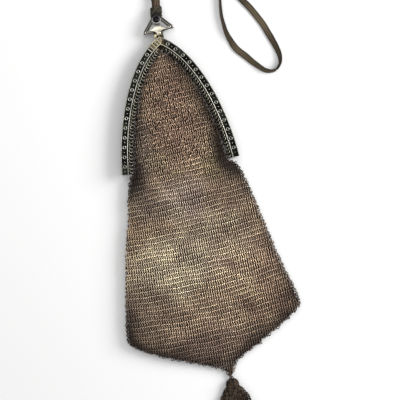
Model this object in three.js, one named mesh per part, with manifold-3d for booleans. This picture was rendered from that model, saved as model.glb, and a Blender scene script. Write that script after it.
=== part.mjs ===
// A ring mesh purse with a pointed metal frame, lying on its back.
// Lengths are in millimetres. +Y runs up the frame's axis towards the strap, +Z is up from the surface it
// lies on, and the origin is on the flat back of the frame, just below its point.
// Inside this file places are measured from the frame's outer point, on the resting surface.

import * as THREE from "three";
import { mergeVertices } from "three/addons/utils/BufferGeometryUtils.js";
import Module from "manifold-3d";

const wasm = await Module();
wasm.setup();

// General clearances
const GAP = 0.3; // between pieces that touch or run in each other
const MESH_GAP = 0.4; // between the mesh and the frame's pierced edge
const BITE = 0.2; // how far joined shapes reach into each other

// Frame: two halves shaped like a pointed arch
const ORIGIN_BELOW_POINT = 2.5;
const FRAME_HEIGHT = 78;
const FRAME_HALF_WIDTH = 35.7;
const ARCH_TOP_LEAN = 63; // degrees between the arch and the axis at the point
const ARCH_FOOT_LEAN = 5; // the same at the feet
const ARCH_TOP_PULL = 0.28; // share of the height over which the top lean holds
const ARCH_FOOT_PULL = 0.44;
const FRAME_DEPTH = 7.9; // from the resting face to the front face
const PARTING_Z = 4.1; // where the two halves meet
const STRIP_WIDTH = 4.2; // the ornamented band
const PLATE = 1.1; // thickness of the front and back plates
const WALL = 0.9; // thickness of the outer wall
const RIM_WIDTH = 0.7;
const RIM_HEIGHT = 0.4;
const FLANGE_WIDTH = 2.1; // pierced inner edge
const FLANGE = 0.6;
const FLANGE_SET_BACK = 0.5; // from the plate's outer face

// Frame ornament and link holes
const HOLE_RADIUS = 0.55;
const HOLE_PITCH = 2.1;
const HOLE_START = 3.2; // distance of the first hole from the inner edge's point
const ROSETTE_PITCH = 5.9;
const ROSETTE_START = 10.2;
const ROSETTE_RADIUS = 1.15;
const ROSETTE_EYE = 0.5;
const ROSETTE_HEIGHT = 0.45;
const DOT_RADIUS = 0.5;
const BAR_PITCH = 2.0; // plain cross bars near the point
const BAR_COUNT = 4;
const BAR_WIDTH = 0.6;

// Hinge at the frame's feet
const HINGE_ABOVE_FOOT = 2.4;
const HINGE_PIN_RADIUS = 0.7;
const HINGE_HEAD_RADIUS = 1.2;
const HINGE_HEAD = 0.6;
const EAR = 0.7; // thickness of a hinge ear
const EAR_RADIUS = 1.6;

// Bail: the cast hanger
const BAIL_CORNER_X = 9.5;
const BAIL_CORNER_Y = 4.0;
const BAIL_TOP_Y = 15.4; // where the bars' outer edges would meet
const BAIL_BAR = 2.2; // width of the two slanting bars
const BAIL_ARM = 1.4; // width of the lower arms
const BAIL_BODY_HALF_WIDTH = 2.6;
const BAIL_UNDER_Z = 2.6;
const BAIL_THICKNESS = 2.4;
const TONGUE_HALF_WIDTH = 1.9;
const TONGUE_LENGTH = 5.0;
const TONGUE_UNDER_Z = 1.4;
const TONGUE_THICKNESS = 2.0;

// Clasp lever
const LEVER_AXIS_Y = 1.2;
const LEVER_AXIS_Z = 6.6;
const KNUCKLE_RADIUS = 0.8;
const KNUCKLE_HALF_WIDTH = 1.15;
const TRUNNION_RADIUS = 0.4;
const LUG = 1.3; // thickness of each lug that holds the lever
const LUG_RADIUS = 1.05;
const LUG_ROOT = 0.9; // half height of a lug's root, as a share of its radius
const STAR_REACH = 4.7; // half width over the star's side tips
const STAR_TIP_Y = 4.5;
const STAR_TOP_Y = 7.0;
const STAR_WAIST = 2.4; // half width next to the tips
const STAR_WAIST_BELOW = 1.2; // from the tips down to the lower waist
const STAR_WAIST_ABOVE = 1.1;
const STAR_TIP_LENGTH = 0.6; // of a tip's blunt end
const STAR_UNDER_Z = 7.2;
const STAR_THICKNESS = 1.1;
const STEM_HALF_WIDTH = 1.4;
const PAWL_LENGTH = 1.9;
const PAWL_HALF_WIDTH = 0.8;
const PAWL_DEPTH = 1.0;
const COLLET_Y = 10.6;
const COLLET_RADIUS = 2.6;
const COLLET_FOOT_RADIUS = 2.3;
const COLLET_HEIGHT = 2.6;
const COLLET_TILT = 22; // degrees that the stone leans towards the strap
const COLLET_RIM = 0.45;
const SEAT_DEPTH = 0.9;
const STONE_DOME = 1.2;
const STONE_GIRDLE = 0.7;

// Strap cuff
const CUFF_HALF_WIDTH = 3.4;
const CUFF_TOP_Y = 18.8;
const CUFF_LIP_Y = 12.3; // where the cuff's face turns in to pass through the bail
const CUFF_FLAP = 1.0; // thickness of the cuff's faces
const CUFF_NECK_RADIUS = 1.05;
const CUFF_NECK_Y = 9.6;
const POCKET_DEPTH = 3.0;

// Strap: a flat woven loop
const STRAP_WIDTH = 3.9;
const STRAP_THICKNESS = 1.1;
const STRAP_SPACING = 0.4; // between the two ends where they lie together
const STRAP_LIFT = 0.05; // clear of the resting surface
const STRAP_OFFSET = 0.5; // how far each end lies to its own side in the cuff
const ARCH_SPAN = 41.2; // between the two legs of the doubled stretch
const ARCH_SPRING_Y = 30; // where that stretch starts to turn
const LOOP_REACH = 70.5; // furthest point of the loop to the right
const LOOP_FALL = 31.7; // lowest point of the loop below the frame's point
const STRAP_STEPS = 62;
const LEG_TURN = { share: 0.6, tilt: 45, spread: 0.75, height: 0.8 }; // half turned, between cuff and arch
const LEG_START_TILT = 4; // just above the cuff
const STRAP_ARC_POINTS = 8;
const TILT_PER_UNIT = 10; // degrees, where a curve's third coordinate carries the tilt

// Pouch
const POUCH_DROP = 127; // from the frame's feet to the bottom point
const POUCH_LEFT = 49.6; // distance of the left corner from the axis
const POUCH_RIGHT = 58.1;
const POUCH_THICKNESS = 7.3;
const MESH = 1.2; // thickness of the ring mesh
const ARCH_MESH_UNDER = 0.4; // height of the back sheet above the surface inside the frame
const TIP_THICKNESS = 3.2;
const EYE_RADIUS = 1.4;
const EYE_HOLE = 0.75;
const EYE_THICKNESS = 0.8;

// Tassel
const TASSEL_X = 9.0;
const LINK_RADIUS = 1.6;
const LINK_WIRE = 0.3;
const KNOB_WIDTH = 8.0;
const KNOB_LENGTH = 6.4;
const KNOB_HEIGHT = 5.6;
const SKIRT_LENGTH = 43;
const SKIRT_HALF_WIDTH = 13.2;
const SKIRT_HEIGHT = 5.4;
const UPPER_LOCKS = 7;
const LOWER_LOCKS = 6;

// Sampling
const ARCH_STEPS = 22; // straight pieces on each side of the arch
const MESH_STEPS = 10; // the same for the mesh inside it
const HOLE_SIDES = 5;
const RING_SIDES = 8;
const STONE_SIDES = 14;
const DOME_STEPS = 4;
const ROD_SIDES = 12;
const KNOB_SIDES = 10;
const KNOB_RINGS = 7;
const LOCK_SIDES = 6;

// Worked out from the sizes above
const FLANGE_INSET = STRIP_WIDTH + FLANGE_WIDTH;
const MESH_INSET = FLANGE_INSET + MESH_GAP;
const BAIL_MID_Z = BAIL_UNDER_Z + BAIL_THICKNESS / 2;
const CAVITY_HEIGHT = BAIL_THICKNESS + 2 * GAP;
const CUFF_HEIGHT = CAVITY_HEIGHT + 2 * CUFF_FLAP;
const BAIL_SLOPE = (BAIL_TOP_Y - BAIL_CORNER_Y) / BAIL_CORNER_X;
const BAIL_FLAT_TOP_Y = BAIL_TOP_Y - (BAIL_BAR / 2) * BAIL_SLOPE;
const POUCH_TIP_Y = -FRAME_HEIGHT - POUCH_DROP;
const EYE_Z = LINK_RADIUS + LINK_WIRE + STRAP_LIFT; // middle of the link and of the eyes it runs through
const TIP_EYE_Y = POUCH_TIP_Y - EYE_RADIUS + 2 * BITE;
const TASSEL_EYE_Y = TIP_EYE_Y - 2 * LINK_RADIUS;
const KNOB_Y = TASSEL_EYE_Y - EYE_RADIUS / 2 - KNOB_LENGTH / 2;
const MESH_TOP_Z = FRAME_DEPTH - FLANGE_SET_BACK;

const radians = THREE.MathUtils.degToRad;
const lerp = THREE.MathUtils.lerp;

// Materials
function finish(color, roughness, metalness) {
  return new THREE.MeshStandardMaterial({ color, roughness, metalness });
}
const agedSilver = finish(0x6f6d62, 0.42, 1.0);
const polishedSilver = finish(0xc9c2a8, 0.25, 1.0);
const ringMesh = finish(0x8a7560, 0.5, 1.0);
const darkMesh = finish(0x4a3a30, 0.55, 1.0);
const wovenBraid = finish(0x6b4f42, 0.8, 0.0);
const plaitedCuff = finish(0x3f3a30, 0.85, 0.0);
const blackStone = finish(0x0b0c12, 0.08, 0.0);

// Turns a closed three.js geometry into a solid.
function solid(geometry) {
  const bare = geometry.clone();
  bare.deleteAttribute("normal");
  bare.deleteAttribute("uv");
  const merged = mergeVertices(bare, 1e-4);
  return new wasm.Manifold(
    new wasm.Mesh({
      numProp: 3,
      vertProperties: new Float32Array(merged.attributes.position.array),
      triVerts: new Uint32Array(merged.index.array),
    }),
  );
}

function mesh(name, body, material) {
  const made = body.getMesh();
  const geometry = new THREE.BufferGeometry();
  geometry.setAttribute("position", new THREE.BufferAttribute(new Float32Array(made.vertProperties), 3));
  geometry.setIndex(new THREE.BufferAttribute(new Uint32Array(made.triVerts), 1));
  geometry.computeVertexNormals();
  const piece = new THREE.Mesh(geometry, material);
  piece.name = name;
  return piece;
}

// Joins a row of sections, each a ring of as many points, and closes both ends.
function loft(sections, cap = zigzagCap) {
  const count = sections[0].length;
  const positions = sections.flat(2);
  const triangles = [];
  for (let row = 0; row + 1 < sections.length; row++) {
    for (let i = 0; i < count; i++) {
      const a = row * count + i;
      const b = row * count + ((i + 1) % count);
      triangles.push(a, b, a + count, b, b + count, a + count);
    }
  }
  for (const [row, flip] of [[0, true], [sections.length - 1, false]]) {
    const ring = sections[row].map((p) => new THREE.Vector3(...p));
    for (const [a, b, c] of cap(ring)) {
      const base = row * count;
      triangles.push(base + a, base + (flip ? c : b), base + (flip ? b : c));
    }
  }
  const geometry = new THREE.BufferGeometry();
  geometry.setAttribute("position", new THREE.Float32BufferAttribute(positions, 3));
  geometry.setIndex(facingOut(positions, triangles));
  return solid(geometry);
}

// Triangles back and forth across a ring whose first half faces its second half.
function zigzagCap(ring) {
  const triangles = [];
  let a = 0;
  let b = ring.length - 1;
  while (b - a > 1) {
    triangles.push([a, a + 1, b]);
    a += 1;
    if (b - a > 1) triangles.push([a, b - 1, b]);
    b -= 1;
  }
  return triangles;
}

// Triangles over any flat ring that has no three points in line.
function earCap(ring) {
  const normal = new THREE.Vector3();
  ring.forEach((p, i) => normal.add(new THREE.Vector3().crossVectors(p, ring[(i + 1) % ring.length])));
  normal.normalize();
  const across = new THREE.Vector3().subVectors(ring[1], ring[0]).normalize();
  const up = new THREE.Vector3().crossVectors(normal, across);
  const flat = ring.map((p) => new THREE.Vector2(p.dot(across), p.dot(up)));
  return THREE.ShapeUtils.triangulateShape(flat, []);
}

function facingOut(positions, triangles) {
  const corner = (i) => new THREE.Vector3().fromArray(positions, 3 * i);
  let volume = 0;
  for (let t = 0; t < triangles.length; t += 3) {
    const [a, b, c] = [0, 1, 2].map((k) => corner(triangles[t + k]));
    volume += a.dot(b.cross(c));
  }
  return volume > 0 ? triangles : triangles.reverse();
}

function join(bodies) {
  return bodies.reduce((whole, body) => whole.add(body));
}

function outline(points) {
  return new THREE.Shape(points.map(([x, y]) => new THREE.Vector2(x, y)));
}

// A plate of a flat outline between two heights.
function plate(shape, low, high) {
  const geometry = new THREE.ExtrudeGeometry(shape, { depth: high - low, bevelEnabled: false });
  return solid(geometry.translate(0, 0, low));
}

function block(low, high) {
  const size = high.map((value, i) => value - low[i]);
  const middle = high.map((value, i) => (value + low[i]) / 2);
  return solid(new THREE.BoxGeometry(...size).translate(...middle));
}

// An upright post, with a flat of its sides towards turn.
function post(x, y, radius, low, high, sides, turn = 0) {
  const geometry = new THREE.CylinderGeometry(radius, radius, high - low, sides);
  geometry.rotateX(Math.PI / 2).rotateZ(turn);
  return solid(geometry.translate(x, y, (low + high) / 2));
}

// A rod along X.
function rod(fromX, toX, y, z, radius, sides = ROD_SIDES) {
  const geometry = new THREE.CylinderGeometry(radius, radius, Math.abs(toX - fromX), sides);
  return solid(geometry.rotateZ(Math.PI / 2).translate((fromX + toX) / 2, y, z));
}

function mirrored(points) {
  return points.map(([x, y]) => [-x, y]).reverse();
}

// The arch's outer edge on the right, from the point to the foot.
function archCurve() {
  const top = new THREE.Vector2(0, 0);
  const foot = new THREE.Vector2(FRAME_HALF_WIDTH, -FRAME_HEIGHT);
  const along = (lean) => new THREE.Vector2(Math.sin(radians(lean)), -Math.cos(radians(lean)));
  const fromTop = along(ARCH_TOP_LEAN).multiplyScalar(ARCH_TOP_PULL * FRAME_HEIGHT);
  const toFoot = along(ARCH_FOOT_LEAN).multiplyScalar(-ARCH_FOOT_PULL * FRAME_HEIGHT);
  return new THREE.CubicBezierCurve(top, top.clone().add(fromTop), foot.clone().add(toFoot), foot);
}
const arch = archCurve();
const archLength = arch.getLength();

// A point at a share of the arch's length, moved inwards by inset, with the direction of the arch there.
function archPoint(share, inset) {
  const p = arch.getPointAt(share);
  const along = arch.getTangentAt(share);
  return { x: p.x + along.y * inset, y: p.y - along.x * inset, along };
}

// Where a line that runs inset inside the arch meets the axis.
function pointShare(inset) {
  let low = 0;
  let high = 0.5;
  for (let i = 0; i < 40; i++) {
    const middle = (low + high) / 2;
    if (archPoint(middle, inset).x < 0) low = middle;
    else high = middle;
  }
  return high;
}

// The line that runs inset inside the arch on the right, from the axis to the foot.
function archLine(inset, steps) {
  const start = pointShare(inset);
  const line = [];
  for (let i = 0; i <= steps; i++) {
    const p = archPoint(lerp(start, 1, i / steps), inset);
    line.push([i ? p.x : 0, p.y]);
  }
  return line;
}

// Sweeps a closed profile of insets and heights round the whole arch.
function sweepArch(profile) {
  const lines = profile.map(([inset]) => archLine(inset, ARCH_STEPS));
  const sections = [];
  for (let step = -ARCH_STEPS; step <= ARCH_STEPS; step++) {
    const side = Math.sign(step);
    sections.push(profile.map(([, z], i) => {
      const [x, y] = lines[i][Math.abs(step)];
      return [side * x, y, z];
    }));
  }
  return loft(sections, earCap);
}

// Places at a pitch along a line inside the arch, on both sides, each with the turn of the arch there.
function placesAlong(inset, start, pitch, stopShort) {
  const places = [];
  const from = pointShare(inset) * archLength + start;
  for (let at = from; at <= archLength - stopShort; at += pitch) {
    const p = archPoint(at / archLength, inset);
    const turn = Math.atan2(p.along.y, p.along.x);
    places.push({ x: p.x, y: p.y, turn, count: places.length });
  }
  return places.flatMap((p) => [p, { ...p, x: -p.x, turn: Math.PI - p.turn }]);
}

function frontProfile() {
  const face = FRAME_DEPTH;
  const rim = face + RIM_HEIGHT;
  const under = face - PLATE;
  const low = PARTING_Z + GAP / 2;
  const edge = face - FLANGE_SET_BACK;
  return [
    [0, low], [0, rim], [RIM_WIDTH, rim], [RIM_WIDTH, face],
    [STRIP_WIDTH - RIM_WIDTH, face], [STRIP_WIDTH - RIM_WIDTH, rim], [STRIP_WIDTH, rim], [STRIP_WIDTH, edge],
    [FLANGE_INSET, edge], [FLANGE_INSET, edge - FLANGE], [WALL, under], [WALL, low],
  ];
}

function backProfile() {
  const edge = FLANGE_SET_BACK;
  return [
    [0, PARTING_Z - GAP / 2], [0, 0], [STRIP_WIDTH, 0], [STRIP_WIDTH, edge],
    [FLANGE_INSET, edge], [FLANGE_INSET, edge + FLANGE], [WALL, PLATE], [WALL, PARTING_Z - GAP / 2],
  ];
}

function linkHoles() {
  const middle = STRIP_WIDTH + FLANGE_WIDTH / 2;
  const top = FRAME_DEPTH;
  const low = FRAME_DEPTH - FLANGE_SET_BACK - FLANGE - PLATE;
  const places = placesAlong(middle, HOLE_START, HOLE_PITCH, HOLE_RADIUS + BITE);
  return places.map((p) => post(p.x, p.y, HOLE_RADIUS, low, top, HOLE_SIDES, p.turn));
}

// Rings and dots by turns along the front band, and plain cross bars near the point.
function ornament() {
  const low = FRAME_DEPTH - BITE;
  const high = FRAME_DEPTH + ROSETTE_HEIGHT;
  const relief = [];
  const middle = STRIP_WIDTH / 2;
  for (const p of placesAlong(middle, ROSETTE_START - BAR_PITCH, ROSETTE_PITCH / 2, ROSETTE_RADIUS + BITE)) {
    if (p.count % 2) {
      relief.push(post(p.x, p.y, DOT_RADIUS, low, high, HOLE_SIDES, p.turn));
    } else {
      const ring = post(p.x, p.y, ROSETTE_RADIUS, low, high, RING_SIDES, p.turn);
      relief.push(ring.subtract(post(p.x, p.y, ROSETTE_EYE, FRAME_DEPTH, high + BITE, HOLE_SIDES, p.turn)));
    }
  }
  for (const p of placesAlong(middle, BAR_PITCH / 2, BAR_PITCH, 0)) {
    if (p.count >= BAR_COUNT) continue;
    const bar = new THREE.BoxGeometry(BAR_WIDTH, STRIP_WIDTH - RIM_WIDTH, high - low);
    relief.push(solid(bar.rotateZ(p.turn).translate(p.x, p.y, (low + high) / 2)));
  }
  return relief;
}

// The ears of one half at both feet: a plate along the arch's side, with a round end about the hinge.
const hinge = hingePlace();
function hingePlace() {
  const y = -FRAME_HEIGHT + HINGE_ABOVE_FOOT;
  const wallX = FRAME_HALF_WIDTH - (HINGE_ABOVE_FOOT + EAR_RADIUS) * Math.tan(radians(ARCH_FOOT_LEAN)) - WALL;
  return { y, wallX, z: PARTING_Z };
}

function ears(outerX, rootZ) {
  const made = [];
  for (const side of [-1, 1]) {
    const [a, b] = [side * outerX, side * (outerX - EAR)];
    const stem = block(
      [Math.min(a, b), hinge.y - EAR_RADIUS, Math.min(rootZ, hinge.z)],
      [Math.max(a, b), hinge.y + EAR_RADIUS, Math.max(rootZ, hinge.z)],
    );
    const eye = rod(a, b, hinge.y, hinge.z, EAR_RADIUS);
    const hole = rod(a + side, b - side, hinge.y, hinge.z, HINGE_PIN_RADIUS + GAP);
    made.push(stem.add(eye).subtract(hole));
  }
  return made;
}
const backEarX = hinge.wallX - GAP;
const frontEarX = backEarX - EAR - GAP;

function hingePin(side) {
  const tip = side * (backEarX + GAP / 3);
  const head = side * (frontEarX - EAR - GAP);
  const shaft = rod(tip, head, hinge.y, hinge.z, HINGE_PIN_RADIUS);
  return shaft.add(rod(head, head - side * HINGE_HEAD, hinge.y, hinge.z, HINGE_HEAD_RADIUS));
}

// The two lugs at the frame's point that hold the clasp lever.
const lugInnerX = KNUCKLE_HALF_WIDTH + GAP;
function lugs() {
  const made = [];
  for (const side of [-1, 1]) {
    const [a, b] = [side * lugInnerX, side * (lugInnerX + LUG)];
    const round = rod(a, b, LEVER_AXIS_Y, LEVER_AXIS_Z, LUG_RADIUS);
    const root = block(
      [Math.min(a, b), -ARCH_ROOT, LEVER_AXIS_Z - LUG_RADIUS * LUG_ROOT],
      [Math.max(a, b), LEVER_AXIS_Y, LEVER_AXIS_Z + LUG_RADIUS * LUG_ROOT],
    );
    const hole = rod(a - side, b + side, LEVER_AXIS_Y, LEVER_AXIS_Z, TRUNNION_RADIUS + GAP);
    made.push(round.add(root).subtract(hole));
  }
  return made;
}
// How far behind the point the frame's wall still lies at the lugs' outer edge.
const ARCH_ROOT = (lugInnerX + LUG) / Math.tan(radians(ARCH_TOP_LEAN)) + BITE;

function frontHalf() {
  const under = FRAME_DEPTH - PLATE;
  const parts = [sweepArch(frontProfile()), ...ornament(), ...ears(frontEarX, under + BITE), ...lugs()];
  return join(parts).subtract(join(linkHoles()));
}

function backHalf() {
  const half = TONGUE_HALF_WIDTH + GAP;
  const notch = block([-half, -STRIP_WIDTH, TONGUE_UNDER_Z - GAP], [half, BITE, PARTING_Z]);
  return join([sweepArch(backProfile()), ...ears(backEarX, PLATE - BITE)]).subtract(notch);
}

// The cast hanger: slanting bars that meet under the cuff, lower arms, a middle and a tongue for the frame.
function bail() {
  const barHeight = BAIL_BAR * Math.sqrt(1 + BAIL_SLOPE * BAIL_SLOPE);
  const armTop = BAIL_CORNER_Y + BAIL_ARM / 2;
  const insideTop = BAIL_TOP_Y - barHeight;
  const side = [
    [TONGUE_HALF_WIDTH, LEVER_AXIS_Y - KNUCKLE_RADIUS],
    [BAIL_BODY_HALF_WIDTH, BAIL_CORNER_Y - BAIL_ARM],
    [BAIL_CORNER_X / 2, BAIL_CORNER_Y - BAIL_ARM / 2],
    [BAIL_CORNER_X, BAIL_CORNER_Y - BAIL_ARM / 2],
    [BAIL_CORNER_X + BITE, BAIL_CORNER_Y + BITE],
    [BAIL_BAR / 2, BAIL_FLAT_TOP_Y],
  ];
  const hanger = outline([...side, ...mirrored(side)]);
  const hole = [
    [BAIL_BODY_HALF_WIDTH, armTop + BITE],
    [(insideTop - armTop) / BAIL_SLOPE, armTop],
    [0, insideTop],
    [-(insideTop - armTop) / BAIL_SLOPE, armTop],
    [-BAIL_BODY_HALF_WIDTH, armTop + BITE],
  ];
  hanger.holes.push(outline(hole));
  const flat = plate(hanger, BAIL_UNDER_Z, BAIL_UNDER_Z + BAIL_THICKNESS);
  const tongue = block(
    [-TONGUE_HALF_WIDTH, -TONGUE_LENGTH + LEVER_AXIS_Y, TONGUE_UNDER_Z],
    [TONGUE_HALF_WIDTH, LEVER_AXIS_Y + BAIL_ARM, TONGUE_UNDER_Z + TONGUE_THICKNESS],
  );
  return flat.add(tongue);
}

// A round body on the collet's leaning axis, from a profile of radii and heights above the collet's foot.
const colletLean = radians(COLLET_TILT);
const colletFootY = COLLET_Y - COLLET_HEIGHT * Math.sin(colletLean);
const colletFootZ = STAR_UNDER_Z + COLLET_FOOT_RADIUS * Math.sin(colletLean) - BITE;
function onColletAxis(profile, sides) {
  const points = profile.map(([radius, height]) => new THREE.Vector2(radius, height));
  const geometry = new THREE.LatheGeometry(points, sides);
  geometry.rotateX(Math.PI / 2 - colletLean);
  return solid(geometry.translate(0, colletFootY, colletFootZ));
}

function collet() {
  const seat = COLLET_HEIGHT - SEAT_DEPTH;
  return onColletAxis([
    [0, 0], [COLLET_FOOT_RADIUS, 0], [COLLET_FOOT_RADIUS, COLLET_HEIGHT / 3], [COLLET_RADIUS, seat],
    [COLLET_RADIUS, COLLET_HEIGHT], [COLLET_RADIUS - COLLET_RIM, COLLET_HEIGHT],
    [COLLET_RADIUS - COLLET_RIM, seat], [0, seat],
  ], STONE_SIDES);
}

function stone() {
  const radius = COLLET_RADIUS - COLLET_RIM - GAP / 2;
  const floor = COLLET_HEIGHT - SEAT_DEPTH + GAP / 2;
  const girdle = floor + STONE_GIRDLE;
  const dome = Array.from({ length: DOME_STEPS }, (_, i) => {
    const turn = ((i + 1) / DOME_STEPS) * (Math.PI / 2);
    return [i + 1 < DOME_STEPS ? radius * Math.cos(turn) : 0, girdle + STONE_DOME * Math.sin(turn)];
  });
  return onColletAxis([[0, floor], [radius, floor], [radius, girdle], ...dome], STONE_SIDES);
}

// Thumb piece: knuckle and trunnions, star plate, pawl and the collet for the stone.
function claspLever() {
  const top = STAR_UNDER_Z + STAR_THICKNESS;
  const startY = LEVER_AXIS_Y + LUG_RADIUS + GAP;
  const side = [
    [BAIL_BODY_HALF_WIDTH, startY], [STAR_WAIST, STAR_TIP_Y - STAR_WAIST_BELOW],
    [STAR_REACH, STAR_TIP_Y - STAR_TIP_LENGTH], [STAR_REACH, STAR_TIP_Y],
    [STAR_WAIST, STAR_TIP_Y + STAR_WAIST_ABOVE],
    [STEM_HALF_WIDTH, STAR_TOP_Y], [STEM_HALF_WIDTH, colletFootY],
  ];
  const star = plate(outline([...side, ...mirrored(side)]), STAR_UNDER_Z, top);
  const reach = block(
    [-KNUCKLE_HALF_WIDTH, LEVER_AXIS_Y, LEVER_AXIS_Z], [KNUCKLE_HALF_WIDTH, startY + BITE, top],
  );
  const knuckle = rod(-KNUCKLE_HALF_WIDTH, KNUCKLE_HALF_WIDTH, LEVER_AXIS_Y, LEVER_AXIS_Z, KNUCKLE_RADIUS);
  const trunnion = lugInnerX + LUG;
  const pins = rod(-trunnion, trunnion, LEVER_AXIS_Y, LEVER_AXIS_Z, TRUNNION_RADIUS);
  const pawl = block(
    [-PAWL_HALF_WIDTH, STAR_TIP_Y - PAWL_DEPTH, STAR_UNDER_Z - PAWL_LENGTH],
    [PAWL_HALF_WIDTH, STAR_TIP_Y, top],
  );
  return join([star, reach, knuckle, pins, pawl, collet()]);
}

// A sleeve round the bail's top, with a pocket for the strap's ends.
function cuff() {
  const low = BAIL_MID_Z - CUFF_HEIGHT / 2;
  const high = BAIL_MID_Z + CUFF_HEIGHT / 2;
  const cavityLow = BAIL_MID_Z - CAVITY_HEIGHT / 2;
  const face = [
    [CUFF_HALF_WIDTH, CUFF_TOP_Y], [-CUFF_HALF_WIDTH, CUFF_TOP_Y], [-CUFF_HALF_WIDTH, CUFF_LIP_Y],
    [-CUFF_NECK_RADIUS, CUFF_NECK_Y], [CUFF_NECK_RADIUS, CUFF_NECK_Y], [CUFF_HALF_WIDTH, CUFF_LIP_Y],
  ];
  const body = plate(outline(face), low, high);
  const cavity = block(
    [-2 * CUFF_HALF_WIDTH, CUFF_NECK_Y - CUFF_LIP_Y + CUFF_NECK_Y, cavityLow],
    [2 * CUFF_HALF_WIDTH, BAIL_FLAT_TOP_Y + GAP, cavityLow + CAVITY_HEIGHT],
  );
  const neck = post(0, CUFF_NECK_Y, CUFF_NECK_RADIUS, low, high, RING_SIDES, Math.PI / RING_SIDES);
  const halfPocket = STRAP_WIDTH / 2 + STRAP_OFFSET + GAP;
  const pocketHalfHeight = STRAP_THICKNESS + STRAP_SPACING / 2 + GAP;
  const pocket = block(
    [-halfPocket, CUFF_TOP_Y - POCKET_DEPTH, BAIL_MID_Z - pocketHalfHeight],
    [halfPocket, CUFF_TOP_Y + BITE, BAIL_MID_Z + pocketHalfHeight],
  );
  return body.subtract(cavity).add(neck).subtract(pocket);
}

// The loop's open end, as shares of its reach to the right and of its fall below the frame's point.
// tilt is how far the band stands up, in degrees: 0 lies flat and 90 stands on its edge.
const LOOP_ROUTE = [
  { right: 0.652, down: -0.72, tilt: 80 },
  { right: 0.752, down: -0.43, tilt: 30 },
  { right: 0.807, down: -0.26, tilt: 10 },
  { right: 0.851, down: -0.09, tilt: 0 },
  { right: 0.891, down: 0.08, tilt: 0 },
  { right: 0.921, down: 0.25, tilt: 10 },
  { right: 0.948, down: 0.41, tilt: 30 },
  { right: 0.983, down: 0.57, tilt: 60 },
  { right: 1.0, down: 0.735, tilt: 85 },
  { right: 0.984, down: 0.883, tilt: 90 },
  { right: 0.933, down: 1.0, tilt: 90 },
  { right: 0.857, down: 0.99, tilt: 80 },
  { right: 0.767, down: 0.80, tilt: 50 },
  { right: 0.702, down: 0.625, tilt: 20 },
  { right: 0.63, down: 0.445, tilt: 10 },
  { right: 0.594, down: 0.278, tilt: 15 },
  { right: 0.569, down: 0.114, tilt: 30 },
  { right: 0.559, down: -0.044, tilt: 45 },
  { right: 0.553, down: -0.2, tilt: 60 },
  { right: 0.556, down: -0.35, tilt: 70 },
  { right: 0.563, down: -0.5, tilt: 80 },
];

// The whole route from the cuff, over the doubled stretch and round the loop, back to the cuff.
function strapRoute() {
  const half = (STRAP_THICKNESS + STRAP_SPACING) / 2;
  const start = CUFF_TOP_Y - POCKET_DEPTH + GAP;
  const turned = lerp(CUFF_TOP_Y, ARCH_SPRING_Y, LEG_TURN.share);
  const leg = (side) => {
    const x = side * STRAP_OFFSET;
    const z = BAIL_MID_Z + side * half;
    return [
      { x, y: start, z, tilt: 0 },
      { x, y: CUFF_TOP_Y, z, tilt: 0 },
      { x, y: CUFF_TOP_Y + STRAP_WIDTH / 2, z, tilt: LEG_START_TILT },
      {
        x: side * (STRAP_OFFSET + half) * LEG_TURN.spread,
        y: turned,
        z: BAIL_MID_Z * LEG_TURN.height + side * half * LEG_TURN.spread,
        tilt: LEG_TURN.tilt,
      },
    ];
  };
  const arc = (radius, steps) => Array.from({ length: steps + 1 }, (_, i) => {
    const turn = Math.PI * (1 - i / steps);
    const x = ARCH_SPAN / 2 + radius * Math.cos(turn);
    return { x, y: ARCH_SPRING_Y + radius * Math.sin(turn), tilt: 90 };
  });
  const loop = LOOP_ROUTE.map((row) => ({
    x: row.right * LOOP_REACH, y: -row.down * LOOP_FALL, tilt: row.tilt,
  }));
  const outer = arc(ARCH_SPAN / 2 + half, STRAP_ARC_POINTS);
  const inner = arc(ARCH_SPAN / 2 - half, STRAP_ARC_POINTS).reverse();
  return [...leg(-1), ...outer, ...loop, ...inner, ...leg(1).reverse()];
}

// The band's sections: a flat ring of eight points, turned by the tilt and laid on the surface.
function strap() {
  const route = strapRoute();
  const curve = (third) => {
    return new THREE.CatmullRomCurve3(route.map((p) => new THREE.Vector3(p.x, p.y, third(p))));
  };
  const places = curve((p) => p.tilt / TILT_PER_UNIT);
  const heights = curve((p) => p.z ?? restingZ(p.tilt));
  const sections = [];
  for (let i = 0; i <= STRAP_STEPS; i++) {
    const t = i / STRAP_STEPS;
    const at = places.getUtoTmapping(t);
    const p = places.getPoint(at);
    const along = places.getTangent(at).setZ(0).normalize();
    const tilt = radians(THREE.MathUtils.clamp(p.z * TILT_PER_UNIT, 0, 90)) * (t < 0.5 ? 1 : -1);
    const z = Math.max(heights.getPoint(at).z, restingZ(Math.abs(tilt) * 180 / Math.PI));
    sections.push(bandSection(p.x, p.y, z, along, tilt));
  }
  return loft(sections);
}

function restingZ(tilt) {
  const turn = radians(tilt);
  return STRAP_LIFT + STRAP_WIDTH / 2 * Math.sin(turn) + STRAP_THICKNESS / 2 * Math.cos(turn);
}

// The band's section, as shares of its half width and half thickness.
const BAND_CORNERS = [
  [-1, -0.45], [-0.86, -1], [0.86, -1], [1, -0.45], [1, 0.45], [0.86, 1], [-0.86, 1], [-1, 0.45],
];

function bandSection(x, y, z, along, tilt) {
  const side = new THREE.Vector3(along.y, -along.x, 0);
  const up = new THREE.Vector3(0, 0, 1);
  const across = side.clone().multiplyScalar(Math.cos(tilt)).addScaledVector(up, -Math.sin(tilt));
  const out = side.clone().multiplyScalar(Math.sin(tilt)).addScaledVector(up, Math.cos(tilt));
  const halfWidth = STRAP_WIDTH / 2;
  const halfThickness = STRAP_THICKNESS / 2;
  return BAND_CORNERS.map(([a, b]) => {
    const p = new THREE.Vector3(x, y, z).addScaledVector(across, a * halfWidth);
    return p.addScaledVector(out, b * halfThickness).toArray();
  });
}

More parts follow.
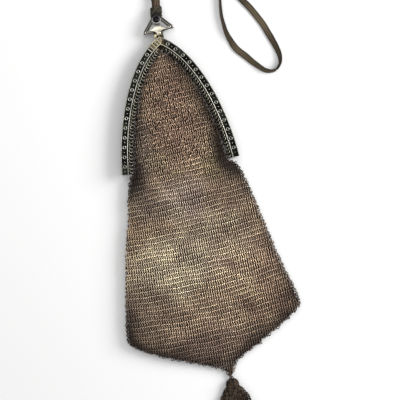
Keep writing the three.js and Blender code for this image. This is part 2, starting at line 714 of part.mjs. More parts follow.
// The pouch below the frame's feet: each row at a share of the drop, with the shares of the corner distances
// that the left and right edges reach, the height share, and the length over which an edge rolls over.
const POUCH_ROWS = [
  { drop: 0.018, left: 0.63, right: 0.545, height: 1, roll: 3 },
  { drop: 0.047, left: 0.665, right: 0.607, height: 1, roll: 5 },
  { drop: 0.122, left: 0.71, right: 0.65, height: 1, roll: 6 },
  { drop: 0.2, left: 0.733, right: 0.70, height: 1, roll: 6 },
  { drop: 0.29, left: 0.797, right: 0.747, height: 1, roll: 6 },
  { drop: 0.378, left: 0.845, right: 0.788, height: 1, roll: 6 },
  { drop: 0.489, left: 0.893, right: 0.847, height: 1, roll: 6 },
  { drop: 0.604, left: 0.94, right: 0.919, height: 1, roll: 6 },
  { drop: 0.67, left: 0.968, right: 0.969, height: 1, roll: 7 },
  { drop: 0.725, left: 0.988, right: 0.996, height: 0.98, roll: 8 },
  { drop: 0.745, left: 0.995, right: 0.992, height: 0.96, roll: 9 },
  { drop: 0.785, left: 1.0, right: 0.885, height: 0.93, roll: 11 },
  { drop: 0.803, left: 0.97, right: 0.82, height: 0.9, roll: 12 },
  { drop: 0.84, left: 0.845, right: 0.685, height: 0.84, roll: 14 },
  { drop: 0.878, left: 0.629, right: 0.545, height: 0.76, roll: 14 },
  { drop: 0.905, left: 0.4435, right: 0.442, height: 0.68, roll: 12 },
  { drop: 0.9464, left: 0.167, right: 0.277, height: 0.56, roll: 8 },
  { drop: 0.973, left: -0.018, right: 0.21, height: 0.48, roll: 4 },
  { drop: 1, left: -0.148, right: 0.184, height: TIP_THICKNESS / POUCH_THICKNESS, roll: 1 },
];

// Soft folds in the upper sheet: place as shares of the right corner distance and of the drop,
// half length and half width as shares of the drop, the way the fold runs, and its height.
const FOLDS = [
  { across: -0.30, drop: 0.20, length: 0.20, width: 0.050, turn: -60, rise: 0.5 },
  { across: 0.28, drop: 0.27, length: 0.16, width: 0.045, turn: -35, rise: -0.45 },
  { across: 0.12, drop: 0.46, length: 0.22, width: 0.050, turn: -50, rise: 0.55 },
  { across: 0.42, drop: 0.47, length: 0.14, width: 0.055, turn: -30, rise: -0.45 },
  { across: -0.48, drop: 0.55, length: 0.22, width: 0.070, turn: 75, rise: 0.45 },
  { across: 0.60, drop: 0.70, length: 0.14, width: 0.050, turn: -40, rise: -0.45 },
];

function foldHeight(x, y) {
  let height = 0;
  for (const fold of FOLDS) {
    const turn = radians(fold.turn);
    const dx = x - fold.across * POUCH_RIGHT;
    const dy = y + FRAME_HEIGHT + fold.drop * POUCH_DROP;
    const along = (dx * Math.cos(turn) + dy * Math.sin(turn)) / (fold.length * POUCH_DROP);
    const beside = (dy * Math.cos(turn) - dx * Math.sin(turn)) / (fold.width * POUCH_DROP);
    height += fold.rise * Math.exp(-along * along - beside * beside);
  }
  return height;
}

// How high the sheet stands near an edge, as a share of its full height, by the share of the roll.
const EDGE_ROLL = [
  { share: 0, height: 0.16 },
  { share: 0.08, height: 0.5 },
  { share: 0.3, height: 0.82 },
  { share: 1, height: 1 },
];
const MIDDLE_POINTS = [-0.5, 0, 0.5];
const EDGE_LIFT = 0.34; // share of the thickness at which a rolled edge's middle lies
const ROLL_LIMIT = 0.46; // the widest roll, as a share of the row's width

// One ring of the pouch at a height y: over the top from left to right, and back underneath.
function pouchSection(y, left, right, thickness, roll, rolled, inset) {
  const width = right + left;
  const reach = Math.min(roll, width * ROLL_LIMIT);
  const middle = (right - left) / 2;
  const across = [
    ...EDGE_ROLL.map((row) => ({ x: -left + row.share * reach, height: row.height })),
    ...MIDDLE_POINTS.map((share) => ({ x: middle + share * (width - 2 * reach), height: 1 })),
    ...EDGE_ROLL.map((row) => ({ x: right - row.share * reach, height: row.height })).reverse(),
  ];
  const base = rolled ? 0 : ARCH_MESH_UNDER;
  const top = across.map(({ x, height }) => {
    const share = lerp(1, height, rolled);
    const up = lerp(EDGE_LIFT, 1, Math.max(share, 0));
    const z = base + thickness * up + foldHeight(x, y) * share - inset;
    return [x, y, Math.max(z, lowest(base, inset, up, thickness))];
  });
  const bottom = across.map(({ x, height }) => {
    const share = lerp(1, height, rolled);
    return [x, y, base + thickness * EDGE_LIFT * (1 - share) + inset * share];
  }).reverse();
  return [...top, ...bottom];
}

function lowest(base, inset, up, thickness) {
  return base + inset + thickness * EDGE_LIFT * (1 - up) + BITE;
}

const archThickness = MESH_TOP_Z - ARCH_MESH_UNDER;

// The pouch's outer form: inside the arch it has cut edges, and below the feet its sides are folded.
function pouchForm() {
  const edge = archLine(MESH_INSET, MESH_STEPS);
  const sections = edge.slice(1).map(([x, y]) => pouchSection(y, x, x, archThickness, x, 0, 0));
  const [, firstY] = edge[0];
  sections.unshift(pouchSection(firstY, BITE, BITE, archThickness, BITE, 0, 0));
  for (const row of POUCH_ROWS) {
    const y = -FRAME_HEIGHT - row.drop * POUCH_DROP;
    const rolled = Math.min(1, row.drop / POUCH_ROWS[1].drop);
    const thickness = POUCH_THICKNESS * row.height;
    const [left, right] = [row.left * POUCH_LEFT, row.right * POUCH_RIGHT];
    sections.push(pouchSection(y, left, right, thickness, row.roll, rolled, 0));
  }
  return loft(sections);
}

// The space inside: open all round the arch, and closed at the sides and bottom.
const SPACE_END = 0.92; // share of the drop below which the pouch is solid
const SPACE_LIFT_FROM = 0.8; // share of the drop from which the slanting bottom's wall counts
const SPACE_SIDE = 1.3; // side wall as a share of the mesh, where the sides run down
const SPACE_CORNER = { from: 0.78, side: 2.6 }; // the same where they slant to the bottom point
const SPACE_TOP = { roll: 3, rolled: 0.9 }; // the first section, just above the frame's feet
function pouchSpace() {
  const edge = archLine(STRIP_WIDTH, MESH_STEPS);
  const around = outline([...edge, ...mirrored(edge.slice(1))]);
  const slit = plate(around, ARCH_MESH_UNDER + MESH, MESH_TOP_Z - MESH);
  const low = -FRAME_HEIGHT;
  const cutOff = block(
    [-FRAME_HALF_WIDTH, low - FRAME_HALF_WIDTH, 0],
    [FRAME_HALF_WIDTH, low + BITE, FRAME_DEPTH],
  );
  const [footX, footY] = archLine(MESH_INSET + MESH, MESH_STEPS).at(-1);
  const topY = footY + FLANGE_WIDTH;
  const sections = [pouchSection(topY, footX, footX, archThickness, SPACE_TOP.roll, SPACE_TOP.rolled, MESH)];
  for (const row of POUCH_ROWS.filter((r) => r.drop < SPACE_END)) {
    const y = -FRAME_HEIGHT - row.drop * POUCH_DROP + (row.drop > SPACE_LIFT_FROM ? MESH : 0);
    const sideways = MESH * (row.drop > SPACE_CORNER.from ? SPACE_CORNER.side : SPACE_SIDE);
    const [left, right] = [row.left * POUCH_LEFT - sideways, row.right * POUCH_RIGHT - sideways];
    const thickness = POUCH_THICKNESS * row.height;
    sections.push(pouchSection(y, left, right, thickness, row.roll, 1, MESH));
  }
  return slit.subtract(cutOff).add(loft(sections));
}

// A flat eye with its hole upright.
function eye(x, y) {
  const low = EYE_Z - EYE_THICKNESS / 2;
  const high = EYE_Z + EYE_THICKNESS / 2;
  return post(x, y, EYE_RADIUS, low, high, ROD_SIDES);
}

function eyeHole(x, y) {
  return post(x, y, EYE_HOLE, 0, 2 * EYE_Z, RING_SIDES);
}

function pouch() {
  const tipEye = eye(TASSEL_X, TIP_EYE_Y);
  return pouchForm().subtract(pouchSpace()).add(tipEye).subtract(eyeHole(TASSEL_X, TIP_EYE_Y));
}

function tasselLink() {
  const ring = new THREE.TorusGeometry(LINK_RADIUS, LINK_WIRE, LOCK_SIDES, STONE_SIDES);
  ring.rotateY(Math.PI / 2);
  return solid(ring.translate(TASSEL_X, (TIP_EYE_Y + TASSEL_EYE_Y) / 2, EYE_Z));
}

// How the skirt opens: length share below the knob's middle, width share and height share.
const SKIRT_ROWS = [
  { down: 0, width: 0.16, height: 0.55 },
  { down: 0.07, width: 0.42, height: 0.85 },
  { down: 0.19, width: 0.68, height: 1 },
  { down: 0.45, width: 0.86, height: 0.92 },
  { down: 0.75, width: 0.96, height: 0.78 },
  { down: 1, width: 1, height: 0.6 },
];
const LOCK_HALF_HEIGHT = 0.27; // share of the skirt's height
const LOCK_WIDTHS = [0.9, 1.2]; // at the knob and at the widest, as shares of a lock's even place
const LOCK_END = 0.6; // how much of its girth a lock keeps at its end
const LOCK_SHORTER = { beside: 0.05, byTurns: 0.03 }; // how lengths differ, as shares of the skirt's length
const INNER_SHARE = 0.84; // width of the core and of the lower locks, as a share of the skirt's
const CORE_INSET = 0.2; // share of the skirt's height left above and below the core
const CORE_SHOULDER = 0.8;

// One lock of the skirt, at a place from -1 to 1 across it.
function lock(across, upper, count) {
  const shorter = LOCK_SHORTER.beside * Math.abs(across) + LOCK_SHORTER.byTurns * (count % 3);
  const length = SKIRT_LENGTH * (1 - shorter);
  const place = SKIRT_HALF_WIDTH / UPPER_LOCKS;
  const sections = SKIRT_ROWS.map((row) => {
    const girth = row.down < 1 ? 1 : LOCK_END;
    const halfWide = place * lerp(...LOCK_WIDTHS, row.width) * girth;
    const halfHigh = SKIRT_HEIGHT * LOCK_HALF_HEIGHT * girth;
    const x = TASSEL_X + across * row.width * (SKIRT_HALF_WIDTH - place);
    const y = KNOB_Y - row.down * length;
    const z = upper ? SKIRT_HEIGHT * row.height - halfHigh : halfHigh;
    return Array.from({ length: LOCK_SIDES }, (_, k) => {
      const turn = (k / LOCK_SIDES) * 2 * Math.PI;
      return [x + halfWide * Math.cos(turn), y, z + halfHigh * Math.sin(turn)];
    });
  });
  return loft(sections);
}

// The packed strands behind the locks, from the knob to a little short of the ends.
function skirtCore() {
  return loft(SKIRT_ROWS.slice(0, -1).map((row) => {
    const halfWide = row.width * SKIRT_HALF_WIDTH * INNER_SHARE;
    const y = KNOB_Y - row.down * SKIRT_LENGTH;
    const high = SKIRT_HEIGHT * (row.height - CORE_INSET);
    const low = SKIRT_HEIGHT * CORE_INSET;
    const shoulder = halfWide * CORE_SHOULDER;
    return [
      [halfWide, y, (low + high) / 2], [shoulder, y, high], [-shoulder, y, high],
      [-halfWide, y, (low + high) / 2], [-shoulder, y, low], [shoulder, y, low],
    ].map(([x, atY, z]) => [TASSEL_X + x, atY, z]);
  }));
}

function tassel() {
  const ball = new THREE.SphereGeometry(0.5, KNOB_SIDES, KNOB_RINGS);
  ball.rotateX(Math.PI / 2).scale(KNOB_WIDTH, KNOB_LENGTH, KNOB_HEIGHT);
  const knob = solid(ball.translate(TASSEL_X, KNOB_Y, KNOB_HEIGHT / 2));
  const spread = (count, i) => (count > 1 ? (2 * i) / (count - 1) - 1 : 0);
  const locks = (count, share, upper) =>
    Array.from({ length: count }, (_, i) => lock(spread(count, i) * share, upper, i));
  const neck = eye(TASSEL_X, TASSEL_EYE_Y);
  const skirt = [skirtCore(), ...locks(UPPER_LOCKS, 1, true), ...locks(LOWER_LOCKS, INNER_SHARE, false)];
  return join([knob, neck, ...skirt]).subtract(eyeHole(TASSEL_X, TASSEL_EYE_Y));
}

const pieces = new THREE.Group();
pieces.add(mesh("frame_front", frontHalf(), agedSilver));
pieces.add(mesh("frame_back", backHalf(), agedSilver));
pieces.add(mesh("hinge_pin_left", hingePin(-1), agedSilver));
pieces.add(mesh("hinge_pin_right", hingePin(1), agedSilver));
pieces.add(mesh("bail", bail(), agedSilver));
pieces.add(mesh("clasp_lever", claspLever(), polishedSilver));
pieces.add(mesh("cabochon", stone(), blackStone));
pieces.add(mesh("strap_cuff", cuff(), plaitedCuff));
pieces.add(mesh("strap", strap(), wovenBraid));
pieces.add(mesh("mesh_pouch", pouch(), ringMesh));
pieces.add(mesh("tassel_link", tasselLink(), darkMesh));
pieces.add(mesh("tassel", tassel(), darkMesh));
pieces.position.y = ORIGIN_BELOW_POINT;

const purse = new THREE.Group();
purse.add(pieces);

export default purse;
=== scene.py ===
import math

import bpy
import numpy as np
from bpy.props import FloatProperty, FloatVectorProperty, IntProperty, PointerProperty
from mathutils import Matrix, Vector
from mathutils.bvhtree import BVHTree


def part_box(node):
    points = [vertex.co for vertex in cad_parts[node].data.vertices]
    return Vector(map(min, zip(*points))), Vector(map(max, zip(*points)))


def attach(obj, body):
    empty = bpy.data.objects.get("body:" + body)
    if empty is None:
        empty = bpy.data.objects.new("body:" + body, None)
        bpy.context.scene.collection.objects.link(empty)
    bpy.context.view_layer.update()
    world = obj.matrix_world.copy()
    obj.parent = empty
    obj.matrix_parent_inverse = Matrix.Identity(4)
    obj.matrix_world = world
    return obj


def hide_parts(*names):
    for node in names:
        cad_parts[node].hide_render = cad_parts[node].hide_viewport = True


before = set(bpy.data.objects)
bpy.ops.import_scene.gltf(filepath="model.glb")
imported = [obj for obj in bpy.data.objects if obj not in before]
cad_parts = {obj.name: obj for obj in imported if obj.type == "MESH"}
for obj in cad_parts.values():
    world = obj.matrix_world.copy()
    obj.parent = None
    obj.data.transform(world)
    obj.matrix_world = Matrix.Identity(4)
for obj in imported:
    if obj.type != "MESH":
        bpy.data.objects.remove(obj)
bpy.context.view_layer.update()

bl_info = {
    "name": "Ring Mesh Purse",
    "version": (1, 0, 0),
    "blender": (4, 5, 0),
    "location": "3D View > Sidebar > Mesh Purse",
    "description": "Dresses a ring mesh purse with its pointed frame, clasp, wrist loop and tassel",
    "category": "Object",
}

# Lengths are in millimetres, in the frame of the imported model, and become metres as a mesh is written.
MM = 0.001
POINT_Y = 2.5  # the frame's outer point

# The pointed arch of the frame
FRAME_HEIGHT = 78.0
FRAME_HALF_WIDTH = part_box("frame_back")[1].x / MM
ARCH_LEANS = (63.0, 5.0)  # degrees from the axis, at the point and at the feet
ARCH_PULLS = (0.28, 0.44)  # shares of the height over which the leans hold
FACE_Z = 7.9  # the front band's dark ground
PARTING_Z = 4.25
RIM_HEIGHT = 0.4
RIM_WIDTH = 0.5
STRIP_WIDTH = 4.2
PIERCED_WIDTH = 2.1
PIERCED_SET_BACK = 0.5
PIERCED_THICKNESS = 0.6
HOLE_PITCH = 2.1
HOLE_START = 3.2
HOLE_RADIUS = 0.55
LINK_RADIUS = 1.15
ROSETTE_PITCH = 5.9
ROSETTE_STARTS = {1: 5.5, -1: 12.2}  # right and left limb
BAR_PITCH = 2.0
BAR_COUNT = 5
BAR_LENGTH = 3.0
BAR_RADIUS = 0.34
ROSETTE_RING = {"radius": 0.86, "wire": 0.24, "around": 16, "across": 8}
DOT_RADIUS = 0.4
RELIEF_FLATNESS = 0.85
CHANNEL_THICKNESS = 1.1
CHANNEL_WALL = 0.9

# Ring mesh: how far the rows reach to both sides, and how deep the rings lie under the bag's faces
ROW_REACH = 62
FRONT_RING_DEPTH = 0.62
BACK_RING_DEPTH = 0.64
LOWEST_BACK_RING = 1.12
EDGE_WIRE = 0.19
EDGE_PITCH = 1.18
FRONT_LINK_Z = 7.35
BACK_LINK_Z = 1.05

# Clasp
LEVER_Y = POINT_Y + 1.2
LEVER_Z = 6.6
LUG_RADIUS = 1.05
LUG_INNER_X = 1.45
LUG_OUTER_X = 2.75
KNUCKLE_HALF_WIDTH = 1.15
KNUCKLE_RADIUS = 0.8
TRUNNION_RADIUS = 0.4
STAR_UNDER_Z = 7.2
STAR_THICKNESS = 1.1
COLLET_Y = POINT_Y + 10.2
COLLET_LEAN = 22.0
COLLET_RADIUS = 2.6
COLLET_WALL = 0.45
COLLET_FOOT_RADIUS = 2.3
COLLET_HEIGHT = 2.6
SEAT_DEPTH = 0.9
STONE_GAP = 0.15
STONE_GIRDLE = 0.7
STONE_DOME = 1.2
BAIL_MID_Z = 3.8

# The hanger lies a little askew, up for every millimetre sideways, and the cuff sideways for every one up.
HANGER_SKEW = 0.09
HANGER_FOOT_Y = 6.7
HANGER_LIP_Y = 12.1
CUFF_SWING = 0.12
CUFF_PLAIT_Y = (14.9, 20.2)

# Strap
SWING_END_Y = 24.3
SWING_FADE_Y = 44.0
LEG_REACH_X = 12.0
STRAP_WIDTH = 3.9
STRAP_RIBS = 4
STRAP_THICKNESS = 1.1
STRAP_SPACING = 0.4
STRAP_LIFT = 0.05
STRAP_OFFSET = 0.5
CUFF_TOP_Y = 18.8
POCKET_DEPTH = 3.0
ARCH_SPAN = 41.2
ARCH_SPRING_Y = 30.0
LOOP_REACH = 70.5
LOOP_FALL = 31.7

# Tassel
TASSEL_X = 9.0
TIP_EYE_Y = -203.5
TASSEL_EYE_Y = -206.7
EYE_Z = 1.95
KNOB_Y = -210.6
KNOB_MIDDLE = (TASSEL_X, KNOB_Y + 0.35, 2.95)
KNOB_RADII = (3.4, 3.15, 2.2)
KNOB_CORE_WIDTHS = (6.6, 6.0, 4.3)
CHAIN_RING = {"radius": 0.9, "wire": 0.22, "around": 8, "across": 4}
CHAIN_PITCH = 1.3
SKIRT_LENGTH = 43.0
SKIRT_HALF_WIDTH = 13.2
SKIRT_HEIGHT = 5.4


def grid_faces(rows, columns, closed_rows=False, closed_columns=True):
    """Four-sided faces between rows of as many points."""
    row = np.arange(rows if closed_rows else rows - 1)[:, None]
    column = np.arange(columns if closed_columns else columns - 1)[None]
    beside = (column + 1) % columns
    after = (row + 1) % rows
    row, after = row * columns, after * columns
    corners = [row + column, row + beside, after + beside, after + column]
    return np.stack(np.broadcast_arrays(*corners), -1).reshape(-1, 4)


class Form:
    """Points and faces that grow into one mesh, with a lightness and a darkness mark for each point, which hold
    real tone and age as well as painted shade and painted highlights.
    """

    def __init__(self):
        self.points = []
        self.quads = []
        self.polygons = []
        self.tints_and_shades = []
        self.tarnish = []
        self.count = 0

    def add(self, points, quads, polygons=(), tint=0.5, tarnish=0.5):
        """Adds points with their faces, which count from the first of these points."""
        points = np.asarray(points, float).reshape(-1, 3)
        if len(quads):
            self.quads.append(np.asarray(quads) + self.count)
        self.polygons += [[i + self.count for i in polygon] for polygon in polygons]
        self.points.append(points)
        self.tints_and_shades.append(np.broadcast_to(tint, len(points)))
        self.tarnish.append(np.broadcast_to(tarnish, len(points)))
        self.count += len(points)

    def tube(self, sections, closed=False, **marks):
        """A body through sections, each a ring of as many points, with flat ends unless it is closed."""
        sections = np.asarray(sections, float)
        rows, columns = sections.shape[:2]
        last = (rows - 1) * columns
        ends = [] if closed else [list(range(columns))[::-1], list(range(last, last + columns))]
        self.add(sections, grid_faces(rows, columns, closed_rows=closed), ends, **marks)

    def rings(self, shape, centres, turns, tint=0.5, tarnish=0.5, height_shade=0.0):
        """Copies of a shape, each turned and set at its centre: a painted highlight lightens what stands up and
        painted shade darkens what sinks.
        """
        points, faces = shape
        placed = np.einsum("nij,vj->nvi", turns, points) + np.asarray(centres, float)[:, None, :]
        steps = (np.arange(len(centres)) * len(points))[:, None, None]
        each = [np.repeat(np.broadcast_to(mark, len(centres)), len(points)) for mark in (tint, tarnish)]
        rise = (placed[..., 2] - placed[..., 2].mean(1, keepdims=True)).ravel()
        each[0] = each[0] + height_shade * rise
        self.add(placed, (faces[None] + steps).reshape(-1, 4), tint=each[0], tarnish=each[1])

    def mesh(self, name):
        """The form as a mesh in metres, with both its marks, painted shade and highlights included, as
        attributes.
        """
        points = np.concatenate(self.points) * MM
        quads = np.concatenate(self.quads) if self.quads else np.zeros((0, 4), int)
        corners = np.concatenate([quads.ravel(), *[np.asarray(p) for p in self.polygons]]).astype(np.int32)
        sizes = np.concatenate([np.full(len(quads), 4), [len(p) for p in self.polygons]]).astype(np.int32)
        mesh = bpy.data.meshes.new(name)
        mesh.vertices.add(len(points))
        mesh.vertices.foreach_set("co", points.astype(np.float32).ravel())
        mesh.loops.add(len(corners))
        mesh.loops.foreach_set("vertex_index", corners)
        mesh.polygons.add(len(sizes))
        mesh.polygons.foreach_set("loop_start", (np.cumsum(sizes) - sizes).astype(np.int32))
        mesh.update(calc_edges=True)
        mesh.validate()
        for key, values in (("tint", self.tints_and_shades), ("tarnish", self.tarnish)):
            layer = mesh.attributes.new(key, "FLOAT", "POINT")
            layer.data.foreach_set("value", np.concatenate(values).astype(np.float32))
        return mesh

    def piece(self, name):
        """The form as a new object."""
        return put_in_scene(name, self.mesh(name))


def deselect_all():
    if bpy.context.object and bpy.context.object.mode != "OBJECT":
        bpy.ops.object.mode_set(mode="OBJECT")
    bpy.ops.object.select_all(action="DESELECT")


def choose(piece):
    """Makes a piece the only selected and the active one."""
    deselect_all()
    piece.select_set(True)
    bpy.context.view_layer.objects.active = piece


def put_in_scene(name, mesh):
    """A new object with this mesh."""
    piece = bpy.data.objects.new(name, mesh)
    bpy.context.scene.collection.objects.link(piece)
    return piece


def dress(piece, material, slot, body="purse", replaces=(), smooth_angle=40):
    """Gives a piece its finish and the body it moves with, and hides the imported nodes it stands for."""
    piece.data.materials.clear()
    piece.data.materials.append(material)
    choose(piece)
    bpy.ops.object.shade_smooth_by_angle(angle=math.radians(smooth_angle))
    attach(piece, body)
    if replaces:
        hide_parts(*replaces)
    return piece


def apply_modifiers(piece):
    """Makes every modifier's result the piece's own mesh."""
    choose(piece)
    for modifier in list(piece.modifiers):
        bpy.ops.object.modifier_apply(modifier=modifier.name)


def primitive(add, **sizes):
    """The points and faces of a primitive, modelled once for its copies."""
    deselect_all()
    add(**sizes)
    made = bpy.context.object
    points = np.array([v.co for v in made.data.vertices])
    faces = [list(p.vertices) for p in made.data.polygons]
    bpy.data.objects.remove(made)
    return points, faces


def ring_shape(radius, wire, around, across):
    """One wire ring: its points in millimetres and its faces."""
    sizes = {"major_radius": radius, "minor_radius": wire, "major_segments": around, "minor_segments": across}
    points, faces = primitive(bpy.ops.mesh.primitive_torus_add, **sizes)
    return points, np.array(faces)


def turn_matrices(x_axes, y_axes, z_axes):
    """Matrices with these directions as their columns."""
    return np.stack([x_axes, y_axes, z_axes], -1)


def about(axis, angles):
    """Matrices that turn by each angle about the x, y or z axis."""
    angles = np.asarray(angles, float)
    own = "xyz".index(axis)
    first, second = (own + 1) % 3, (own + 2) % 3
    turns = np.zeros((*angles.shape, 3, 3))
    turns[..., own, own] = 1
    turns[..., first, first] = turns[..., second, second] = np.cos(angles)
    turns[..., first, second] = -np.sin(angles)
    turns[..., second, first] = np.sin(angles)
    return turns


def in_floor(vectors):
    """Directions in the floor's plane, with a height of nothing."""
    return np.column_stack([vectors, np.zeros(len(vectors))])


def unit(vectors):
    return vectors / np.linalg.norm(vectors, axis=-1, keepdims=True)


def lengths_along(line):
    """How far along a line each of its points lies."""
    return np.concatenate([[0], np.cumsum(np.linalg.norm(np.diff(line, axis=0), axis=1))])


def places_along(distance, at, line):
    """The two coordinates of a line at these distances along it."""
    return [np.interp(distance, at, line[:, k]) for k in (0, 1)]


class Arch:
    """The frame's pointed arch: places along it at any distance inside its outer edge."""

    def __init__(self, samples=600):
        t = np.linspace(0, 1, samples)[:, None]
        lean = [np.array([math.sin(math.radians(a)), -math.cos(math.radians(a))]) for a in ARCH_LEANS]
        top, foot = np.zeros(2), np.array([FRAME_HALF_WIDTH, -FRAME_HEIGHT])
        near_top = top + lean[0] * ARCH_PULLS[0] * FRAME_HEIGHT
        near_foot = foot - lean[1] * ARCH_PULLS[1] * FRAME_HEIGHT
        shares = [(1 - t) ** 3, 3 * t * (1 - t) ** 2, 3 * t * t * (1 - t), t ** 3]
        self.line = shares[0] * top + shares[1] * near_top + shares[2] * near_foot + shares[3] * foot
        self.at = lengths_along(self.line)
        self.length = self.at[-1]
        self.along = unit(np.gradient(self.line, self.at, axis=0))

    def place(self, distance, inset):
        """Points on the right limb, and the arch's direction there."""
        x, y = places_along(distance, self.at, self.line)
        along = np.stack(places_along(distance, self.at, self.along), -1)
        inset = np.asarray(inset)
        return np.stack([x + along[..., 1] * inset, y - along[..., 0] * inset + POINT_Y], -1), along

    def start(self, inset):
        """How far along the arch the line at this inset leaves the axis."""
        points, _ = self.place(self.at[: len(self.at) // 2], inset)
        return float(np.interp(0, points[:, 0], self.at[: len(self.at) // 2]))

    def line_at(self, inset, shares):
        """The whole line at this inset: a share of -1 is the left foot, 0 the axis and 1 the right foot."""
        start = self.start(inset)
        points, _ = self.place(start + (self.length - start) * np.abs(shares), inset)
        points[:, 0] *= np.sign(shares)
        return points

    def along_both(self, inset, first, pitch, stop_short):
        """Places at a pitch on both limbs: points, turns and counts from the point down."""
        start = self.start(inset) + first
        distance = np.arange(start, self.length - stop_short, pitch)
        points, along = self.place(distance, inset)
        turns = np.arctan2(along[:, 1], along[:, 0])
        count = np.arange(len(distance))
        left = points * [-1, 1]
        return np.concatenate([points, left]), np.concatenate([turns, math.pi - turns]), np.tile(count, 2)


ARCH = Arch()


class Value:
    """What leaves a node: sums of values add their own Math nodes."""

    def __init__(self, finish, socket):
        self.finish = finish
        self.socket = socket

    def maths(self, operation, *others, **settings):
        """A Math node that takes these values or numbers."""
        numbers = {f"i{k}": other for k, other in enumerate(others)}
        return self.finish.node("Math", settings={"operation": operation, **settings}, **numbers)

    def __add__(self, other):
        return self.maths("ADD", self, other)

    def __radd__(self, other):
        return self.maths("ADD", other, self)

    def __sub__(self, other):
        return self.maths("SUBTRACT", self, other)

    def __rsub__(self, other):
        return self.maths("SUBTRACT", other, self)

    def __mul__(self, other):
        return self.maths("MULTIPLY", self, other)

    def __rmul__(self, other):
        return self.maths("MULTIPLY", other, self)

    def __truediv__(self, other):
        return self.maths("DIVIDE", self, other)

    def __rtruediv__(self, other):
        return self.maths("DIVIDE", other, self)

    def __pow__(self, other):
        return self.maths("POWER", self, other)

    def sine(self):
        return self.maths("SINE", self)

    def larger(self, other):
        return self.maths("MAXIMUM", self, other)

    def clamped(self):
        return self.maths("ADD", self, 0.0, use_clamp=True)

    def step(self, low, high):
        """0 below low and 1 above high, with a soft change between them."""
        settings = {"interpolation_type": "SMOOTHSTEP"}
        return self.finish.node("MapRange", settings=settings, i0=self, i1=low, i2=high, i3=0.0, i4=1.0)


class Finish:
    """A procedural material in the making."""

    def __init__(self, name):
        self.material = bpy.data.materials.new(name)
        self.material.use_nodes = True
        self.tree = self.material.node_tree
        self.tree.nodes.clear()

    def node(self, kind, output=0, settings=None, **inputs):
        """Any node: its settings first, then the values or links of its sockets."""
        made = self.tree.nodes.new("ShaderNode" + kind)
        for key, value in (settings or {}).items():
            setattr(made, key, value)
        for key, value in inputs.items():
            name = int(key[1:]) if key[0] == "i" and key[1:].isdigit() else key.replace("_", " ")
            if isinstance(value, Value):
                self.tree.links.new(value.socket, made.inputs[name])
            else:
                made.inputs[name].default_value = value
        return Value(self, made.outputs[output])

    def place(self):
        """Object coordinates, and their three parts."""
        whole = self.node("TexCoord", output="Object")
        parts = [self.node("SeparateXYZ", output=k, Vector=whole) for k in range(3)]
        return whole, *parts

    def mark(self, name):
        """The tint or tarnish that the mesh holds for each point."""
        return self.node("Attribute", output="Fac", settings={"attribute_name": name})

    def noise(self, vector, size, detail=3.0, roughness=0.55):
        """Cloudy noise whose clouds are about this many millimetres across."""
        return self.node("TexNoise", Vector=vector, Scale=1 / (size * MM), Detail=detail, Roughness=roughness)

    def mix(self, share, first, second, blend="MIX"):
        """Two colours or colour links, mixed or multiplied."""
        colours = [c if isinstance(c, Value) else (*c, 1.0) for c in (first, second)]
        settings = {"data_type": "RGBA", "blend_type": blend}
        return self.node("Mix", output=2, settings=settings, i0=share, i6=colours[0], i7=colours[1])

    def bump(self, height, strength, distance):
        """Bumps as deep as this distance in millimetres."""
        return self.node("Bump", Height=height, Strength=strength, Distance=distance * MM)

    def done(self, **inputs):
        """The surface itself, from the values or links of its sockets."""
        surface = self.node("BsdfPrincipled", **inputs)
        out = self.tree.nodes.new("ShaderNodeOutputMaterial")
        self.tree.links.new(surface.socket, out.inputs["Surface"])
        return self.material


# Soft stains of the ring mesh, and narrow streaks of painted highlight and painted shade for shallow dents:
# x and y of the middle, half width and half height in millimetres, turn in degrees, strength and colour.
STAINS_AND_DENT_SHADE = (
    (0, -40, 24, 46, 0, 0.85, (0.31, 0.205, 0.145)),
    (4, -50, 10, 32, 0, 0.6, (0.42, 0.285, 0.20)),
    (-1, -96, 20, 19, 0, 0.75, (0.44, 0.35, 0.295)),
    (26, -97, 15, 17, 0, 0.65, (0.27, 0.19, 0.14)),
    (20, -79, 8, 11, 0, 0.5, (0.36, 0.30, 0.16)),
    (-14, -72, 8, 10, 0, 0.5, (0.36, 0.30, 0.18)),
    (-14, -135, 38, 26, 0, 0.85, (0.64, 0.545, 0.385)),
    (12, -122, 28, 24, 0, 0.7, (0.50, 0.41, 0.30)),
    (24, -140, 24, 18, 0, 0.65, (0.68, 0.53, 0.37)),
    (46, -150, 18, 40, 0, 0.7, (0.38, 0.255, 0.18)),
    (2, -165, 26, 16, 0, 0.6, (0.50, 0.375, 0.26)),
    (-34, -158, 22, 26, 0, 0.7, (0.27, 0.195, 0.15)),
    (-24, -62, 12, 34, 0, 0.7, (0.20, 0.15, 0.125)),
    (0, -190, 50, 22, 0, 0.7, (0.27, 0.185, 0.15)),
    # The next four are narrow streaks of painted highlight and painted shade for shallow dents.
    (-1, -137, 14, 4, -70, 0.5, (0.66, 0.57, 0.40)),
    (23, -120, 9, 4, -38, 0.6, (0.26, 0.19, 0.13)),
    (20, -140, 9, 4, -38, 0.6, (0.26, 0.16, 0.12)),
    (28, -168, 13, 5, -55, 0.6, (0.24, 0.14, 0.11)),
    (-23, -96, 14, 14, 30, 0.65, (0.23, 0.175, 0.145)),
)


def soft_spot(x, y, middle_x, middle_y, wide, high, turn):
    """1 in the middle of a soft spot and 0 past its edge."""
    turn = math.radians(turn)
    dx, dy = x - middle_x * MM, y - middle_y * MM
    along = (dx * math.cos(turn) + dy * math.sin(turn)) / (wide * MM)
    across = (dy * math.cos(turn) - dx * math.sin(turn)) / (high * MM)
    return 1.0 - (along * along + across * across).step(0.05, 1.0)


